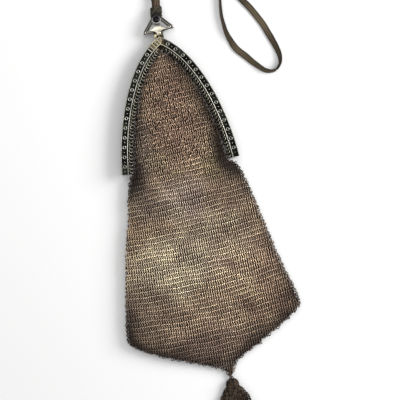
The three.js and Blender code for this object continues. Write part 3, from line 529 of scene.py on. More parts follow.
def ring_metal(settings):
    """Aged bronze-brown wire: stained in large soft patches, with painted streaks of dent shade, painted shade
    and highlight from each point's marks, and darker and browner at the edges from tarnish and painted shade.
    """
    finish = Finish("ring_metal")
    place, x, y, _ = finish.place()
    tint, tarnish = finish.mark("tint"), finish.mark("tarnish")
    colour = settings.mesh_colour
    warp = finish.noise(place, 14.0, detail=2.0) - 0.5
    x, y = x + warp * 0.012, y - warp * 0.014
    for *spot, share, stain_and_dent_shade in STAINS_AND_DENT_SHADE:
        colour = finish.mix(soft_spot(x, y, *spot) * share, colour, stain_and_dent_shade)
    cloud = finish.noise(place, 9.0, detail=4.0)
    mottle = finish.mix(cloud.step(0.35, 0.66), (1.12, 1.12, 1.08), (0.82, 0.78, 0.79))
    colour = finish.mix(1.0, colour, mottle, "MULTIPLY")
    # Painted shade and highlight: the lightness mark scales the colour from near black to bright.
    shading = finish.mix(tint.clamped(), (0.05, 0.043, 0.043), (1.44, 1.49, 1.53))
    colour = finish.mix(1.0, colour, shading, "MULTIPLY")
    # Tarnish and painted shade: the darkness mark pulls the colour towards near black.
    dark = (tarnish + (cloud - 0.5) * 0.4).step(0.1, 1.05)
    colour = finish.mix(dark * 0.94, colour, settings.tarnish_colour)
    # Fine noise of real wear, for roughness and bumps.
    wear_and_height_shade = finish.noise(place, 0.5, detail=2.0)
    rough = 0.44 + 0.2 * wear_and_height_shade + 0.12 * tarnish
    return finish.done(
        Base_Color=colour,
        Metallic=0.92,
        Roughness=rough,
        Normal=finish.bump(wear_and_height_shade, 0.35, 0.06),
    )


def link_metal():
    """The loose rings along the frame: thicker wire, grey-green with age, lighter where their marks hold
    painted light.
    """
    finish = Finish("link_metal")
    place, *_ = finish.place()
    tint = finish.mark("tint")
    fine = finish.noise(place, 0.6)
    colour = finish.mix(tint.clamped(), (0.012, 0.011, 0.009), (0.33, 0.31, 0.245))
    colour = finish.mix(fine.step(0.5, 0.7) * 0.5, colour, (0.02, 0.017, 0.014))
    return finish.done(Base_Color=colour, Metallic=1.0, Roughness=0.38 + 0.2 * fine)


def depth_shade():
    """Painted shade: the near black seen between the wires."""
    finish = Finish("depth_shade")
    place, *_ = finish.place()
    cloud = finish.noise(place, 2.0)
    colour = finish.mix(cloud, (0.008, 0.006, 0.005), (0.022, 0.016, 0.013))
    return finish.done(Base_Color=colour, Metallic=0.3, Roughness=0.8 + 0.1 * cloud)


def frame_silver(settings):
    """Silver with a ground that age made black, raised parts worn bright, and gold near the point. Painted
    light brightens the inner rim, the left limb and its bars; painted shade dulls the other raised parts, the
    right and the feet.
    """
    finish = Finish("frame_silver")
    place, x, y, z = finish.place()
    fine = finish.noise(place, 0.9, detail=4.0)
    cloud = finish.noise(place, 6.0, detail=3.0)
    height = z + (fine - 0.5) * 0.00012
    raised = height.step((FACE_Z + 0.10) * MM, (FACE_Z + 0.30) * MM)
    above = y - POINT_Y * MM
    beyond = (x * x + above * above) ** 0.5
    near_point = (1.0 - beyond.step(6.0 * MM, 11.0 * MM)) * (1.0 - x.step(0.0, 3.0 * MM) * 0.92)
    neck = y.step(-1.0 * MM, 1.6 * MM) * (1.0 - 0.7 * x.step(0.4 * MM, 1.6 * MM))
    # Painted light and shade: the lightness mark and the left limb light the raised silver, and the feet are
    # shaded.
    left = 1.0 - x.step(-14 * MM, 6 * MM)
    feet = 1.0 - y.step(-76 * MM, -58 * MM)
    lit = (finish.mark("tint") + left * 0.28).step(0.1, 1.0) * (1.0 - feet * 0.6)
    bright = finish.mix(cloud.step(0.35, 0.7) * 0.6, settings.silver_colour, (0.22, 0.215, 0.185))
    bright = finish.mix((1.0 - lit) * 0.85, bright, (0.055, 0.055, 0.045))
    bright = finish.mix(near_point * fine.step(0.38, 0.58), bright, (0.46, 0.39, 0.25))
    ground = finish.mix(cloud.step(0.45, 0.65), (0.004, 0.004, 0.0035), (0.016, 0.017, 0.013))
    ground = finish.mix(near_point * (0.3 + 0.6 * fine.step(0.4, 0.6)), ground, (0.15, 0.12, 0.07))
    worn = (raised + neck * 0.8 * fine.step(0.35, 0.6)).clamped()
    scratched = finish.noise(place, 0.25, detail=2.0)
    colour = finish.mix(worn * (0.75 + 0.25 * scratched.step(0.3, 0.6)), ground, bright)
    rough = 0.52 - 0.22 * worn + 0.12 * scratched
    return finish.done(
        Base_Color=colour, Metallic=1.0, Roughness=rough, Normal=finish.bump(scratched + fine, 0.3, 0.05)
    )


def dull_silver():
    """The hanger's grey cast silver, dark in its grooves and bright along its edges, with a painted highlight
    along its lower arms.
    """
    finish = Finish("dull_silver")
    place, x, y, z = finish.place()
    fine = finish.noise(place, 0.7, detail=4.0)
    top = (z + (fine - 0.5) * 0.0002).step(4.45 * MM, 4.8 * MM)
    level = y - x * HANGER_SKEW
    low = level.step(6.1 * MM, 6.4 * MM) * (1.0 - level.step(7.2 * MM, 7.6 * MM))
    colour = finish.mix(top * 0.8, (0.004, 0.004, 0.004), (0.20, 0.195, 0.165))
    # Painted highlight: the raised tops of the lower arms are pale cream.
    colour = finish.mix(low * top * 0.9, colour, (0.60, 0.57, 0.49))
    colour = finish.mix(fine.step(0.5, 0.75) * 0.3, colour, (0.26, 0.25, 0.21))
    return finish.done(
        Base_Color=colour, Metallic=1.0, Roughness=0.42 + 0.15 * fine, Normal=finish.bump(fine, 0.35, 0.05)
    )


def thumb_silver(settings):
    """Silver polished by the thumb to a pale gold, darker at the stem's right; painted shade round the stone's
    seat and on the low parts, and a painted shadow on the collar towards the cuff.
    """
    finish = Finish("thumb_silver")
    place, x, y, z = finish.place()
    fine = finish.noise(place, 0.6, detail=3.0)
    seat = y.step(7.6 * MM, 9.4 * MM) * (1.0 - z.step(9.6 * MM, 10.9 * MM))
    low = 1.0 - z.step(7.3 * MM, 8.0 * MM)
    colour = finish.mix(fine.step(0.45, 0.7) * 0.5, settings.polished_colour, (0.34, 0.305, 0.22))
    stem = (1.0 - y.step(5.0 * MM, 7.2 * MM)) * x.step(-0.6 * MM, 0.8 * MM)
    collar = z.step(8.8 * MM, 9.6 * MM)
    shaded = collar * y.step(13.2 * MM, 14.6 * MM)
    # Painted shade round the stone's seat under the collet, and painted shadow on the collar towards the cuff.
    colour = finish.mix(seat * 0.9, colour, (0.03, 0.029, 0.033))
    colour = finish.mix(collar * 0.6, colour, (0.42, 0.41, 0.43))
    colour = finish.mix(shaded * 0.85, colour, (0.02, 0.02, 0.02))
    # Painted shade on the parts below the star plate.
    colour = finish.mix(low * 0.7, colour, (0.2, 0.18, 0.14))
    colour = finish.mix(stem * 0.75, colour, (0.17, 0.15, 0.105))
    return finish.done(
        Base_Color=colour, Metallic=1.0, Roughness=0.3 + 0.14 * fine, Normal=finish.bump(fine, 0.12, 0.04)
    )


def black_stone():
    """Polished black stone with a faint veil."""
    finish = Finish("black_stone")
    place, *_ = finish.place()
    veil = finish.noise(place, 1.4, detail=3.0)
    colour = finish.mix(veil.step(0.45, 0.75), (0.001, 0.001, 0.002), (0.003, 0.003, 0.006))
    return finish.done(
        Base_Color=colour,
        Roughness=0.05 + 0.04 * veil,
        Specular_IOR_Level=0.12,
        Normal=finish.bump(veil, 0.03, 0.05),
    )


def woven(name, base, light, dark, ribs):
    """Braid of fine crossing threads on the piece's own map: u runs along it and v across its ribs. Painted
    shade fills the ribs' grooves and painted highlight lifts the ribs; the marks add painted shade where they
    hold it.
    """
    finish = Finish(name)
    place, x, _, _ = finish.place()
    map_uv = finish.node("UVMap", settings={"uv_map": "weave"})
    u = finish.node("SeparateXYZ", output=0, Vector=map_uv)
    v = finish.node("SeparateXYZ", output=1, Vector=map_uv)
    turn = 2 * math.pi
    slant = ((u * 0.9 + v * 0.9) * turn).sine()
    cross = ((u * 0.9 - v * 0.9) * turn).sine()
    thread = slant.larger(cross) * 0.5 + 0.5
    rib = (v * (math.pi * ribs / STRAP_WIDTH)).sine()
    ridge = rib * rib
    cloud = finish.noise(place, 7.0, detail=3.0)
    fuzz = finish.noise(place, 0.22, detail=2.0)
    tint, tarnish = finish.mark("tint"), finish.mark("tarnish")
    colour = finish.mix(cloud.step(0.42, 0.68), base, light)
    if ribs:
        olive = x.step(20 * MM, 45 * MM)
        colour = finish.mix(olive * 0.7, colour, (0.056, 0.048, 0.03))
    colour = finish.mix(1.0, colour, finish.mix(tint, (0.45, 0.44, 0.42), (1.6, 1.6, 1.6)), "MULTIPLY")
    colour = finish.mix((1.0 - thread.step(0.25, 0.75)) * 0.75, colour, dark)
    # Painted shade and painted shadow held in the darkness mark.
    colour = finish.mix(tarnish * 0.85, colour, dark)
    if ribs:
        # Painted shade in the grooves and painted highlight on the ribs.
        grooves = finish.mix(ridge, (0.05, 0.045, 0.045), (2.3, 2.15, 2.05))
        colour = finish.mix(1.0, colour, grooves, "MULTIPLY")
        off_middle = v * (2 / STRAP_WIDTH) - 1.0
        colour = finish.mix((off_middle * off_middle).step(0.3, 0.95) * 0.92, colour, dark)
    colour = finish.mix(fuzz.step(0.58, 0.75) * 0.3, colour, (0.22, 0.18, 0.13))
    return finish.done(
        Base_Color=colour,
        Roughness=0.62 + 0.25 * fuzz,
        Specular_IOR_Level=0.15,
        Normal=finish.bump(thread + 0.5 * fuzz, 0.6, 0.12),
    )


def pale_floor(settings):
    """The studio's pale, even floor."""
    finish = Finish("pale_floor")
    place, *_ = finish.place()
    haze = finish.noise(place, 80.0, detail=2.0)
    tone = settings.floor_tone
    colour = finish.mix(haze, (tone, tone, tone), (tone * 0.99, tone * 0.99, tone * 0.985))
    return finish.done(Base_Color=colour, Roughness=0.75)


def studio_sky(strength):
    """A white sky overhead that darkens towards the horizon, so that curved metal has dark sides."""
    world = bpy.data.worlds.new("studio")
    world.use_nodes = True
    tree = world.node_tree
    place = tree.nodes.new("ShaderNodeTexCoord")
    parts = tree.nodes.new("ShaderNodeSeparateXYZ")
    ramp = tree.nodes.new("ShaderNodeMapRange")
    ramp.interpolation_type = "SMOOTHSTEP"
    for k, value in enumerate((0.15, 0.75, 0.12 * strength, strength)):
        ramp.inputs[k + 1].default_value = value
    tree.links.new(place.outputs["Generated"], parts.inputs[0])
    tree.links.new(parts.outputs["Z"], ramp.inputs[0])
    tree.links.new(ramp.outputs[0], tree.nodes["Background"].inputs["Strength"])
    tree.nodes["Background"].inputs["Color"].default_value = (1, 1, 1, 1)
    return world


class Bag:
    """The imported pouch, read by rays: its outline and the heights of its upper and lower faces."""

    STEP = 1.5
    ROWS_PER_MM = 2

    def __init__(self):
        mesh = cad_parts["mesh_pouch"].data
        points = [v.co / MM for v in mesh.vertices]
        self.tree = BVHTree.FromPolygons(points, [tuple(p.vertices) for p in mesh.polygons])
        low, high = (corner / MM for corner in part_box("mesh_pouch"))
        self.high_z = high.z + 5
        self.low = np.array([low.x - 3, low.y - 3])
        self.xs = np.arange(low.x - 3, high.x + 3, self.STEP)
        self.ys = np.arange(low.y - 3, high.y + 3, self.STEP)
        upper = [[self.ray(x, y, self.high_z, -1) for x in self.xs] for y in self.ys]
        lower = [[self.ray(x, y, -5, 1) for x in self.xs] for y in self.ys]
        self.upper = self.softened(np.array(upper, float))
        self.lower = self.softened(np.array(lower, float))
        self.find_outline(low, high)

    def ray(self, x, y, z, way):
        """The height at which a ray up or down meets the pouch."""
        hit = self.tree.ray_cast(Vector((x, y, z)), Vector((0, 0, way)))[0]
        return hit.z if hit else np.nan

    def softened(self, heights):
        """Facets blurred away, without drawing in the empty space round the bag."""
        known = ~np.isnan(heights)
        filled = np.where(known, heights, 0.0)
        weight = known.astype(float)
        kernel = np.array([1.0, 4.0, 6.0, 4.0, 1.0])
        for _ in range(2):
            for axis in (0, 1):
                filled = np.apply_along_axis(np.convolve, axis, filled, kernel, "same")
                weight = np.apply_along_axis(np.convolve, axis, weight, kernel, "same")
        return filled / np.maximum(weight, 1e-6)

    def find_outline(self, low, high):
        """The bag's left and right edges at even steps up its height, a little smoothed."""
        self.line_y = np.arange(low.y + 2.6, high.y - 0.4, 1 / self.ROWS_PER_MM)
        left, right = [], []
        for y in self.line_y:
            inside = [x for x in self.xs if not math.isnan(self.ray(x, y, self.high_z, -1))]
            middle = (inside[0] + inside[-1]) / 2 if inside else TASSEL_X
            left.append(self.edge(middle, low.x - 2, y))
            right.append(self.edge(middle, high.x + 2, y))
        kernel = np.array([1.0, 2.0, 3.0, 2.0, 1.0]) / 9
        pad = len(kernel) // 2
        self.left_x = np.convolve(np.pad(left, pad, "edge"), kernel, "valid")
        self.right_x = np.convolve(np.pad(right, pad, "edge"), kernel, "valid")

    def edge(self, inside, outside, y):
        """Where the pouch ends between a place inside it and one outside."""
        for _ in range(14):
            middle = (inside + outside) / 2
            if math.isnan(self.ray(middle, y, self.high_z, -1)):
                outside = middle
            else:
                inside = middle
        return inside

    def left(self, y):
        return np.interp(y, self.line_y, self.left_x)

    def right(self, y):
        return np.interp(y, self.line_y, self.right_x)

    def height(self, heights, x, y):
        """The height at places on the bag, from the four known heights round each."""
        gx = np.clip((x - self.low[0]) / self.STEP, 0, len(self.xs) - 1.001)
        gy = np.clip((y - self.low[1]) / self.STEP, 0, len(self.ys) - 1.001)
        i, j = gx.astype(int), gy.astype(int)
        fx, fy = gx - i, gy - j
        near = heights[j, i] * (1 - fx) + heights[j, i + 1] * fx
        far = heights[j + 1, i] * (1 - fx) + heights[j + 1, i + 1] * fx
        return near * (1 - fy) + far * fy

    def normal(self, heights, x, y):
        """Outward directions of a face at places on the bag."""
        d = 0.8
        slope_x = (self.height(heights, x + d, y) - self.height(heights, x - d, y)) / (2 * d)
        slope_y = (self.height(heights, x, y + d) - self.height(heights, x, y - d)) / (2 * d)
        return unit(np.stack([-slope_x, -slope_y, np.ones_like(slope_x)], -1))

    def from_edge(self, x, y):
        """Distance of places to the bag's side and bottom edges."""
        line = np.concatenate([
            np.stack([self.left_x, self.line_y], -1), np.stack([self.right_x, self.line_y], -1)
        ])
        found = [np.hypot(line[:, 0] - a, line[:, 1] - b).min() for a, b in zip(x, y)]
        return np.array(found)


# How the rows of rings lie: millimetres below the bag's top, slope and bow of a row, and how far it spreads.
ROW_LIE = (
    (0, 0.055, 0.0, 0.0),
    (60, 0.055, 0.0, 0.0),
    (100, 0.05, 0.0004, 0.03),
    (140, 0.035, 0.0011, 0.08),
    (200, 0.035, 0.0012, 0.13),
)


def lie(down):
    """Slope, bow and spread of the row at this distance below the bag's top."""
    downs, *columns = zip(*ROW_LIE)
    return [np.interp(down, downs, column) for column in columns]


def ring_rows(bag, settings, first_y, margin):
    """Places of the rings in rows that sag with the bag and end at its outline, in steps at the lower right."""
    pitch, row_pitch = settings.ring_pitch / MM, settings.row_pitch / MM
    found = []
    total = int((first_y - bag.line_y[0]) / row_pitch) + 8
    for row in range(total):
        down, pair_down = row * row_pitch, (row // 2 * 2 + 0.5) * row_pitch
        row_slope, bow, spread = lie(down)
        x = (np.arange(-ROW_REACH, ROW_REACH, pitch) + (row % 2) * pitch / 2) * (1 + spread)
        sag = row_slope * x + bow * x * x
        closer = (0.5 - row % 2) * settings.row_pairing / MM
        y, pair_y = first_y - down - closer + sag, first_y - pair_down + sag
        test = np.where((pair_y < -150) & (x > TASSEL_X), pair_y, y)
        inside = (x > bag.left(test) + margin) & (x < bag.right(test) - margin)
        inside &= (test > bag.line_y[0]) & (y < bag.line_y[-1])
        slope = row_slope + 2 * bow * x
        found.append(np.stack([x, y, slope, np.full_like(x, row)], -1)[inside])
    return np.concatenate(found)


def near_frame(y):
    """1 in the stretch inside the frame and 0 well below its feet."""
    return np.clip((y + FRAME_HEIGHT + 8) / 16, 0, 1)


def soft_waves(x, y):
    """A slow wander from 0 to 1 over the bag, for what differs from place to place."""
    wave = np.sin(x * 0.21 + y * 0.13 + 1.0) + np.sin(y * 0.24 - x * 0.09) + np.sin(x * 0.11 - y * 0.19 + 2.0)
    return np.clip(0.5 + wave / 4, 0, 1)


def row_drift(x, y):
    """How far the rows bunch up and spread, in millimetres."""
    return 0.55 * np.sin(y * 0.33 + x * 0.12) * np.cos(x * 0.14 - y * 0.05) * np.clip((-y - 20) / 30, 0, 1)


def edge_tarnish(bag, x, y):
    """How dark the wires are near the bag's edges: most along the frame, the right side and the bottom. Partly
    tarnish, partly painted shade where the mesh meets the frame, at its feet and corners, and where it turns
    away at the edges.
    """
    away = bag.from_edge(x, y)
    inner = near_frame(y)
    right = np.clip((x + 5) / 30, 0, 1)
    low = np.clip((-146 - y) / 20, 0, 1)
    below = (0.45 + 0.4 * np.maximum(right, low)) * np.exp(-away / (2.6 + 3.2 * right + 6.0 * low))
    along_frame = (0.8 + 0.4 * np.clip(-y / 40, 0, 1)) * np.exp(-away / (4.2 + 2.6 * np.clip(x / 12, 0, 1)))
    feet = sum(
        strength * np.exp(-np.hypot((x - middle_x) / 11, (y - middle_y) / 13) ** 2)
        for middle_x, middle_y, strength in ((-31, -82, 0.8), (31, -76, 0.85))
    )
    corners = sum(
        strength * np.exp(-np.hypot(x - middle_x, y - middle_y) / 13)
        for middle_x, middle_y, strength in ((9, -204, 0.1), (-47, -176, 0.45), (55, -172, 0.22))
    )
    return np.clip(below * (1 - inner) + along_frame * inner + feet + corners, 0, 1)


def lay_sheet(form, bag, settings, upper, seed):
    """One face of the bag in real rings, each row leaning against the next."""
    rng = np.random.default_rng(seed)
    around, across = (8, 4) if upper else (6, 3)
    ring, wire = settings.ring_size / MM / 2, settings.wire / MM / 2
    shape = ring_shape(ring - wire, wire, around, across)
    places = ring_rows(bag, settings, bag.line_y[-1] - 0.8, ring * 0.55)
    x, y, slope, row = places.T
    count = len(x)
    inner = near_frame(y)
    x = x + rng.normal(0, 0.05 + 0.05 * inner, count)
    y = y + rng.normal(0, 0.04 + 0.03 * inner, count) + row_drift(x, y)
    heights = bag.upper if upper else bag.lower
    depth = FRONT_RING_DEPTH if upper else -BACK_RING_DEPTH
    z = bag.height(heights, x, y) - depth
    if upper:
        z -= 0.5 * inner * np.exp(-((x / 16) ** 2))
        z += 0.22 * np.sin(x * 0.23 + y * 0.11) * np.sin(y * 0.17 - x * 0.05) * (bag.from_edge(x, y) > 6)
    else:
        z = np.maximum(z, LOWEST_BACK_RING)
    normals = bag.normal(heights, x, y)
    rows = unit(np.stack([np.ones(count), slope, np.zeros(count)], -1))
    downs = unit(np.cross(normals, rows))
    rows = np.cross(downs, normals)
    loose = soft_waves(x, y)
    lean = np.where(row % 2 == 0, 1.0, -1.0) * math.radians(settings.ring_lean) * (0.8 + 0.3 * loose)
    lean = lean + rng.normal(0, 0.07 + 0.1 * inner, count)
    slant = math.radians(settings.ring_slant) * (0.5 + 0.9 * loose)
    way = np.where(row % 2 == 0, 1.0, -1.0)
    tilt = way * math.radians(settings.ring_tilt) + rng.normal(0, 0.08 + 0.1 * inner, count)
    slant = slant + rng.normal(0, 0.08 + 0.12 * inner, count)
    turns = turn_matrices(rows, downs, normals) @ about("z", slant) @ about("x", tilt) @ about("y", lean)
    tarnish = edge_tarnish(bag, x, y)
    row_tint = rng.uniform(-0.08, 0.08, 400)[row.astype(int)]
    # Painted shade: every second row is darker, as if turned away from the light.
    tint = rng.uniform(0.38, 0.66, count) + row_tint - 0.26 * (row % 2)
    form.rings(shape, np.stack([x, y, z], -1), turns, tint=tint, tarnish=tarnish, height_shade=settings.wear_and_height_shade)


def ring_pieces(name, form, material, slot, ring_faces, most=190000, **kwargs):
    """Writes a form of many rings as pieces that each stay small enough."""
    points = np.concatenate(form.points)
    quads = np.concatenate(form.quads)
    parts = max(1, math.ceil(2 * len(quads) / most))
    per = math.ceil(len(quads) / parts)
    per = math.ceil(per / ring_faces) * ring_faces
    tints_and_shades, tarnish = np.concatenate(form.tints_and_shades), np.concatenate(form.tarnish)
    for k in range(parts):
        mine = quads[k * per:(k + 1) * per]
        first, last = mine.min(), mine.max() + 1
        part = Form()
        part.add(points[first:last], mine - first, tint=tints_and_shades[first:last], tarnish=tarnish[first:last])
        full = name if parts == 1 else f"{name}_{k + 1}"
        dress(part.piece(full), material, slot, **kwargs)


def lay_shade(form, bag):
    """A thin dark sheet on the back rings, painted shade for the depth that the real mesh's many wires give."""
    inset, thickness, columns = 1.9, 0.2, 44
    levels = np.arange(bag.line_y[0] + 4.5, bag.line_y[-1] - 2.5, 2.5)
    sections = []
    for y in levels:
        x = np.linspace(bag.left(y) + inset, bag.right(y) - inset, columns)
        z = bag.height(bag.lower, x, np.full(columns, y)) + 1.7
        top = np.column_stack([x, np.full(columns, y), z + thickness])
        under = np.column_stack([x, np.full(columns, y), z])[::-1]
        sections.append(np.concatenate([top, under]))
    form.tube(sections, tint=0.1, tarnish=1.0)


def edge_route(bag):
    """The bag's outline from the left foot round the tip to the right foot, and the lengths along it."""
    below = bag.line_y < POINT_Y - FRAME_HEIGHT - 1
    left = np.stack([bag.left_x[below], bag.line_y[below]], -1)[::-1]
    right = np.stack([bag.right_x[below], bag.line_y[below]], -1)
    line = np.concatenate([left, right])
    return line, lengths_along(line)


def lay_edges(form, bag, settings, seed):
    """Rings that stand along the folded sides and the slanting bottom, and close the bag there."""
    rng = np.random.default_rng(seed)
    line, at = edge_route(bag)
    distance = np.arange(0.6, at[-1] - 0.6, EDGE_PITCH)
    x, y = places_along(distance, at, line)
    ahead = unit(np.stack([np.gradient(x), np.gradient(y)], -1))
    out = np.stack([-ahead[:, 1], ahead[:, 0]], -1)
    out = np.where((out * (np.stack([x, y], -1) - [4, -130])).sum(-1, keepdims=True) < 0, -out, out)
    steps = np.where((y < -172) & (x > 12), np.abs((distance / 5.8) % 1 - 0.5) * 2.4 - 0.9, -0.45)
    middle = np.stack([x, y], -1) + out * (steps[:, None] - 0.6)
    z = (bag.height(bag.upper, x, y) + bag.height(bag.lower, x, y)) / 2
    z = np.clip(z, 1.35, None)
    count = len(x)
    ahead3, up = in_floor(ahead), np.tile([0.0, 0.0, 1.0], (count, 1))
    sign = np.where(np.arange(count) % 2 == 0, 1.0, -1.0)
    turns = turn_matrices(ahead3, up, np.cross(ahead3, up))
    turns = turns @ about("y", sign * 0.75 + rng.normal(0, 0.12, count))
    turns = turns @ about("x", rng.normal(0.25, 0.2, count))
    shape = ring_shape(settings.ring_size / MM / 2 - 0.17, 0.19, 8, 4)
    form.rings(
        shape,
        np.column_stack([middle, z]),
        turns,
        tint=rng.uniform(0, 0.7, count),
        tarnish=rng.uniform(0.6, 0.95, count),
    )


def lay_tip(form, seed):
    """The gathered rings at the bottom point, and the eye that the tassel's link runs through."""
    rng = np.random.default_rng(seed)
    shape = ring_shape(0.95, EDGE_WIRE, 8, 4)
    count, middle, spread = 26, [TASSEL_X, TIP_EYE_Y + 1.9, EYE_Z - 0.05], [1.0, 1.3, 0.45]
    spots = rng.normal(0, 1, (count, 3)) * spread + middle
    spots[:, 2] = np.clip(spots[:, 2], 1.15, 2.9)
    turns = about("z", rng.uniform(0, 3, count)) @ about("x", rng.uniform(0.2, 1.3, count))
    form.rings(shape, spots, turns, tint=rng.uniform(0, 0.9, count), tarnish=0.75)
    add_eye(form, TIP_EYE_Y)


def add_eye(form, y):
    """A flat ring of thicker wire that the tassel's link runs through."""
    eye = ring_shape(1.05, 0.3, 16, 8)
    form.rings(eye, [[TASSEL_X, y, EYE_Z]], np.eye(3)[None], tint=0.1, tarnish=0.9)


def frame_links(form, upper, seed):
    """The loose rings that hang the mesh in the frame's pierced edge."""
    rng = np.random.default_rng(seed)
    hole_line = STRIP_WIDTH + PIERCED_WIDTH / 2
    points, *_ = ARCH.along_both(hole_line, HOLE_START, HOLE_PITCH, HOLE_RADIUS + 0.2)
    inward, *_ = ARCH.along_both(hole_line + LINK_RADIUS, HOLE_START, HOLE_PITCH, HOLE_RADIUS + 0.2)
    half = min(len(points), len(inward)) // 2
    points, inward = ([*side[:half], *side[len(side) // 2:][:half]] for side in (points, inward))
    points, inward = np.array(points), np.array(inward)
    away = unit(inward - points)
    middle = points + away * 0.95
    count = len(middle)
    out3, up = in_floor(away), np.tile([0.0, 0.0, 1.0], (count, 1))
    z = np.full(count, FRONT_LINK_Z if upper else BACK_LINK_Z)
    lean = rng.normal(0.6, 0.1, count)
    turns = turn_matrices(out3, np.cross(up, out3), up)
    side = np.where(np.arange(count) < half, 1, -1)
    turns = turns @ about("x", lean * side) @ about("y", rng.normal(0, 0.12, count))
    shape = ring_shape(LINK_RADIUS, 0.22, 12, 6)
    # Painted light: rings on the upper left are lighter, and each ring gets a painted highlight on its raised
    # side.
    tint = rng.uniform(-0.2, 0.3, count) + 0.14 * (middle[:, 0] < 0) * (middle[:, 1] > -70)
    form.rings(shape, np.column_stack([middle, z]), turns, tint=tint, height_shade=1.0)


def sweep_arch(form, profile, tints_and_shades, steps=72):
    """Sweeps a closed profile of insets and heights round the arch, with a lightness mark of painted light for
    each of its lines.
    """
    shares = np.linspace(-1, 1, 2 * steps + 1)
    lines = [ARCH.line_at(inset, shares) for inset, _ in profile]
    sections = [
        [(line[k][0], line[k][1], z) for line, (_, z) in zip(lines, profile)] for k in range(len(shares))
    ]
    form.tube(sections, tint=np.tile(tints_and_shades, len(shares)))


def rounded_rim(outer, inner, low, high, soft=0.13):
    """The profile of one raised rim with soft edges, from its outer foot to its inner foot."""
    return [
        (outer, low), (outer, high - soft), (outer + soft * 0.35, high - soft * 0.35), (outer + soft, high),
        (inner - soft, high), (inner - soft * 0.35, high - soft * 0.35), (inner, high - soft), (inner, low),
    ]


def pierced_edge(form, low, high):
    """The flange with its row of round holes: each hole's cell is a frame of faces between two loops."""
    middle = STRIP_WIDTH + PIERCED_WIDTH / 2
    start = ARCH.start(middle)
    first, last = start + HOLE_START - HOLE_PITCH / 2, ARCH.length
    cells = int((last - first) / HOLE_PITCH)
    sides = 12
    angles = np.arange(sides) / sides * 2 * math.pi + math.pi / sides
    box = np.stack([np.cos(angles), np.sin(angles)], -1)
    box /= np.abs(box).max(1, keepdims=True)
    for side in (-1, 1):
        for cell in range(cells):
            centre = first + (cell + 0.5) * HOLE_PITCH
            loops = []
            for z in (high, low):
                for outline in ("box", "hole"):
                    if outline == "box":
                        distance = centre + box[:, 0] * HOLE_PITCH / 2
                        inset = middle + box[:, 1] * (PIERCED_WIDTH / 2)
                        inset = np.where(box[:, 1] < -0.99, STRIP_WIDTH - 0.3, inset)
                    else:
                        distance = centre + np.cos(angles) * HOLE_RADIUS
                        inset = middle + np.sin(angles) * HOLE_RADIUS
                    p, _ = ARCH.place(distance, inset)
                    loops.append(np.column_stack([p[:, 0] * side, p[:, 1], np.full(sides, z)]))
            top_box, top_hole, low_box, low_hole = loops
            form.tube([top_box, top_hole, low_hole, low_box], closed=True)


def place_relief(form, shape, places, z, turns):
    """Copies of a shape that lie flat on the band, each turned to follow the arch."""
    centres = np.column_stack([places, np.full(len(places), z)])
    form.rings(shape, centres, about("z", turns), tint=0.5)


def frame_ornament(form):
    """Rings and dots by turns round the front band, and plain cross bars near the point."""
    middle = STRIP_WIDTH / 2
    rosette = ring_shape(**ROSETTE_RING)
    dot = {"segments": 12, "ring_count": 8, "radius": DOT_RADIUS}
    dot_points, dot_faces = primitive(bpy.ops.mesh.primitive_uv_sphere_add, **dot)
    for side, start in ROSETTE_STARTS.items():
        points, turns, count = ARCH.along_both(middle, start, ROSETTE_PITCH / 2, 1.35)
        mine = np.sign(points[:, 0]) == side
        rings, dots = mine & (count % 2 == 0), mine & (count % 2 == 1)
        place_relief(form, rosette, points[rings], FACE_Z + 0.16, turns[rings])
        for x, y in points[dots]:
            form.add(dot_points * [1, 1, RELIEF_FLATNESS] + [x, y, FACE_Z + 0.05], [], dot_faces)
    points, turns, count = ARCH.along_both(middle, BAR_PITCH / 2, BAR_PITCH, 0)
    keep = count < np.where(points[:, 0] < 0, BAR_COUNT, 1)
    bar = {"vertices": 12, "radius": BAR_RADIUS, "depth": BAR_LENGTH}
    bar_points, bar_faces = primitive(bpy.ops.mesh.primitive_cylinder_add, **bar)
    for (x, y), turn in zip(points[keep], turns[keep]):
        lying = bar_points[:, [0, 2, 1]] * [1, 1, RELIEF_FLATNESS]
        # Painted light: the bars on the left limb are marked lit, the one on the right shaded.
        tint = 0.8 if x < 0 else 0.2
        form.add(lying @ about("z", turn).T + [x, y, FACE_Z + 0.12], [], bar_faces, tint=tint)


def frame_front_form():
    """The front half: swept rims and ground, pierced edge, ornament, lugs and ears."""
    form = Form()
    rim = FACE_Z + RIM_HEIGHT
    profile = [(0.0, PARTING_Z), *rounded_rim(0.0, RIM_WIDTH, FACE_Z, rim)[1:]]
    profile += rounded_rim(STRIP_WIDTH - RIM_WIDTH, STRIP_WIDTH, FACE_Z, rim)
    under = FACE_Z - CHANNEL_THICKNESS
    profile += [(STRIP_WIDTH, under), (CHANNEL_WALL, under), (CHANNEL_WALL, PARTING_Z)]
    # Painted light: the inner rim is marked lit and the other lines are shaded.
    inner_edge = STRIP_WIDTH - RIM_WIDTH - 0.01
    sweep_arch(form, profile, [1.0 if inset > inner_edge else 0.35 for inset, _ in profile])
    high = FACE_Z - PIERCED_SET_BACK
    pierced_edge(form, high - PIERCED_THICKNESS, high)
    frame_ornament(form)
    lugs_and_ears(form)
    return form


def add_rod(form, half_length, y, z, radius):
    """A rod that lies along x."""
    sizes = {"vertices": 20, "radius": radius, "depth": 2 * half_length}
    points, faces = primitive(bpy.ops.mesh.primitive_cylinder_add, **sizes)
    form.add(points[:, [2, 0, 1]] + [0, y, z], [], faces)


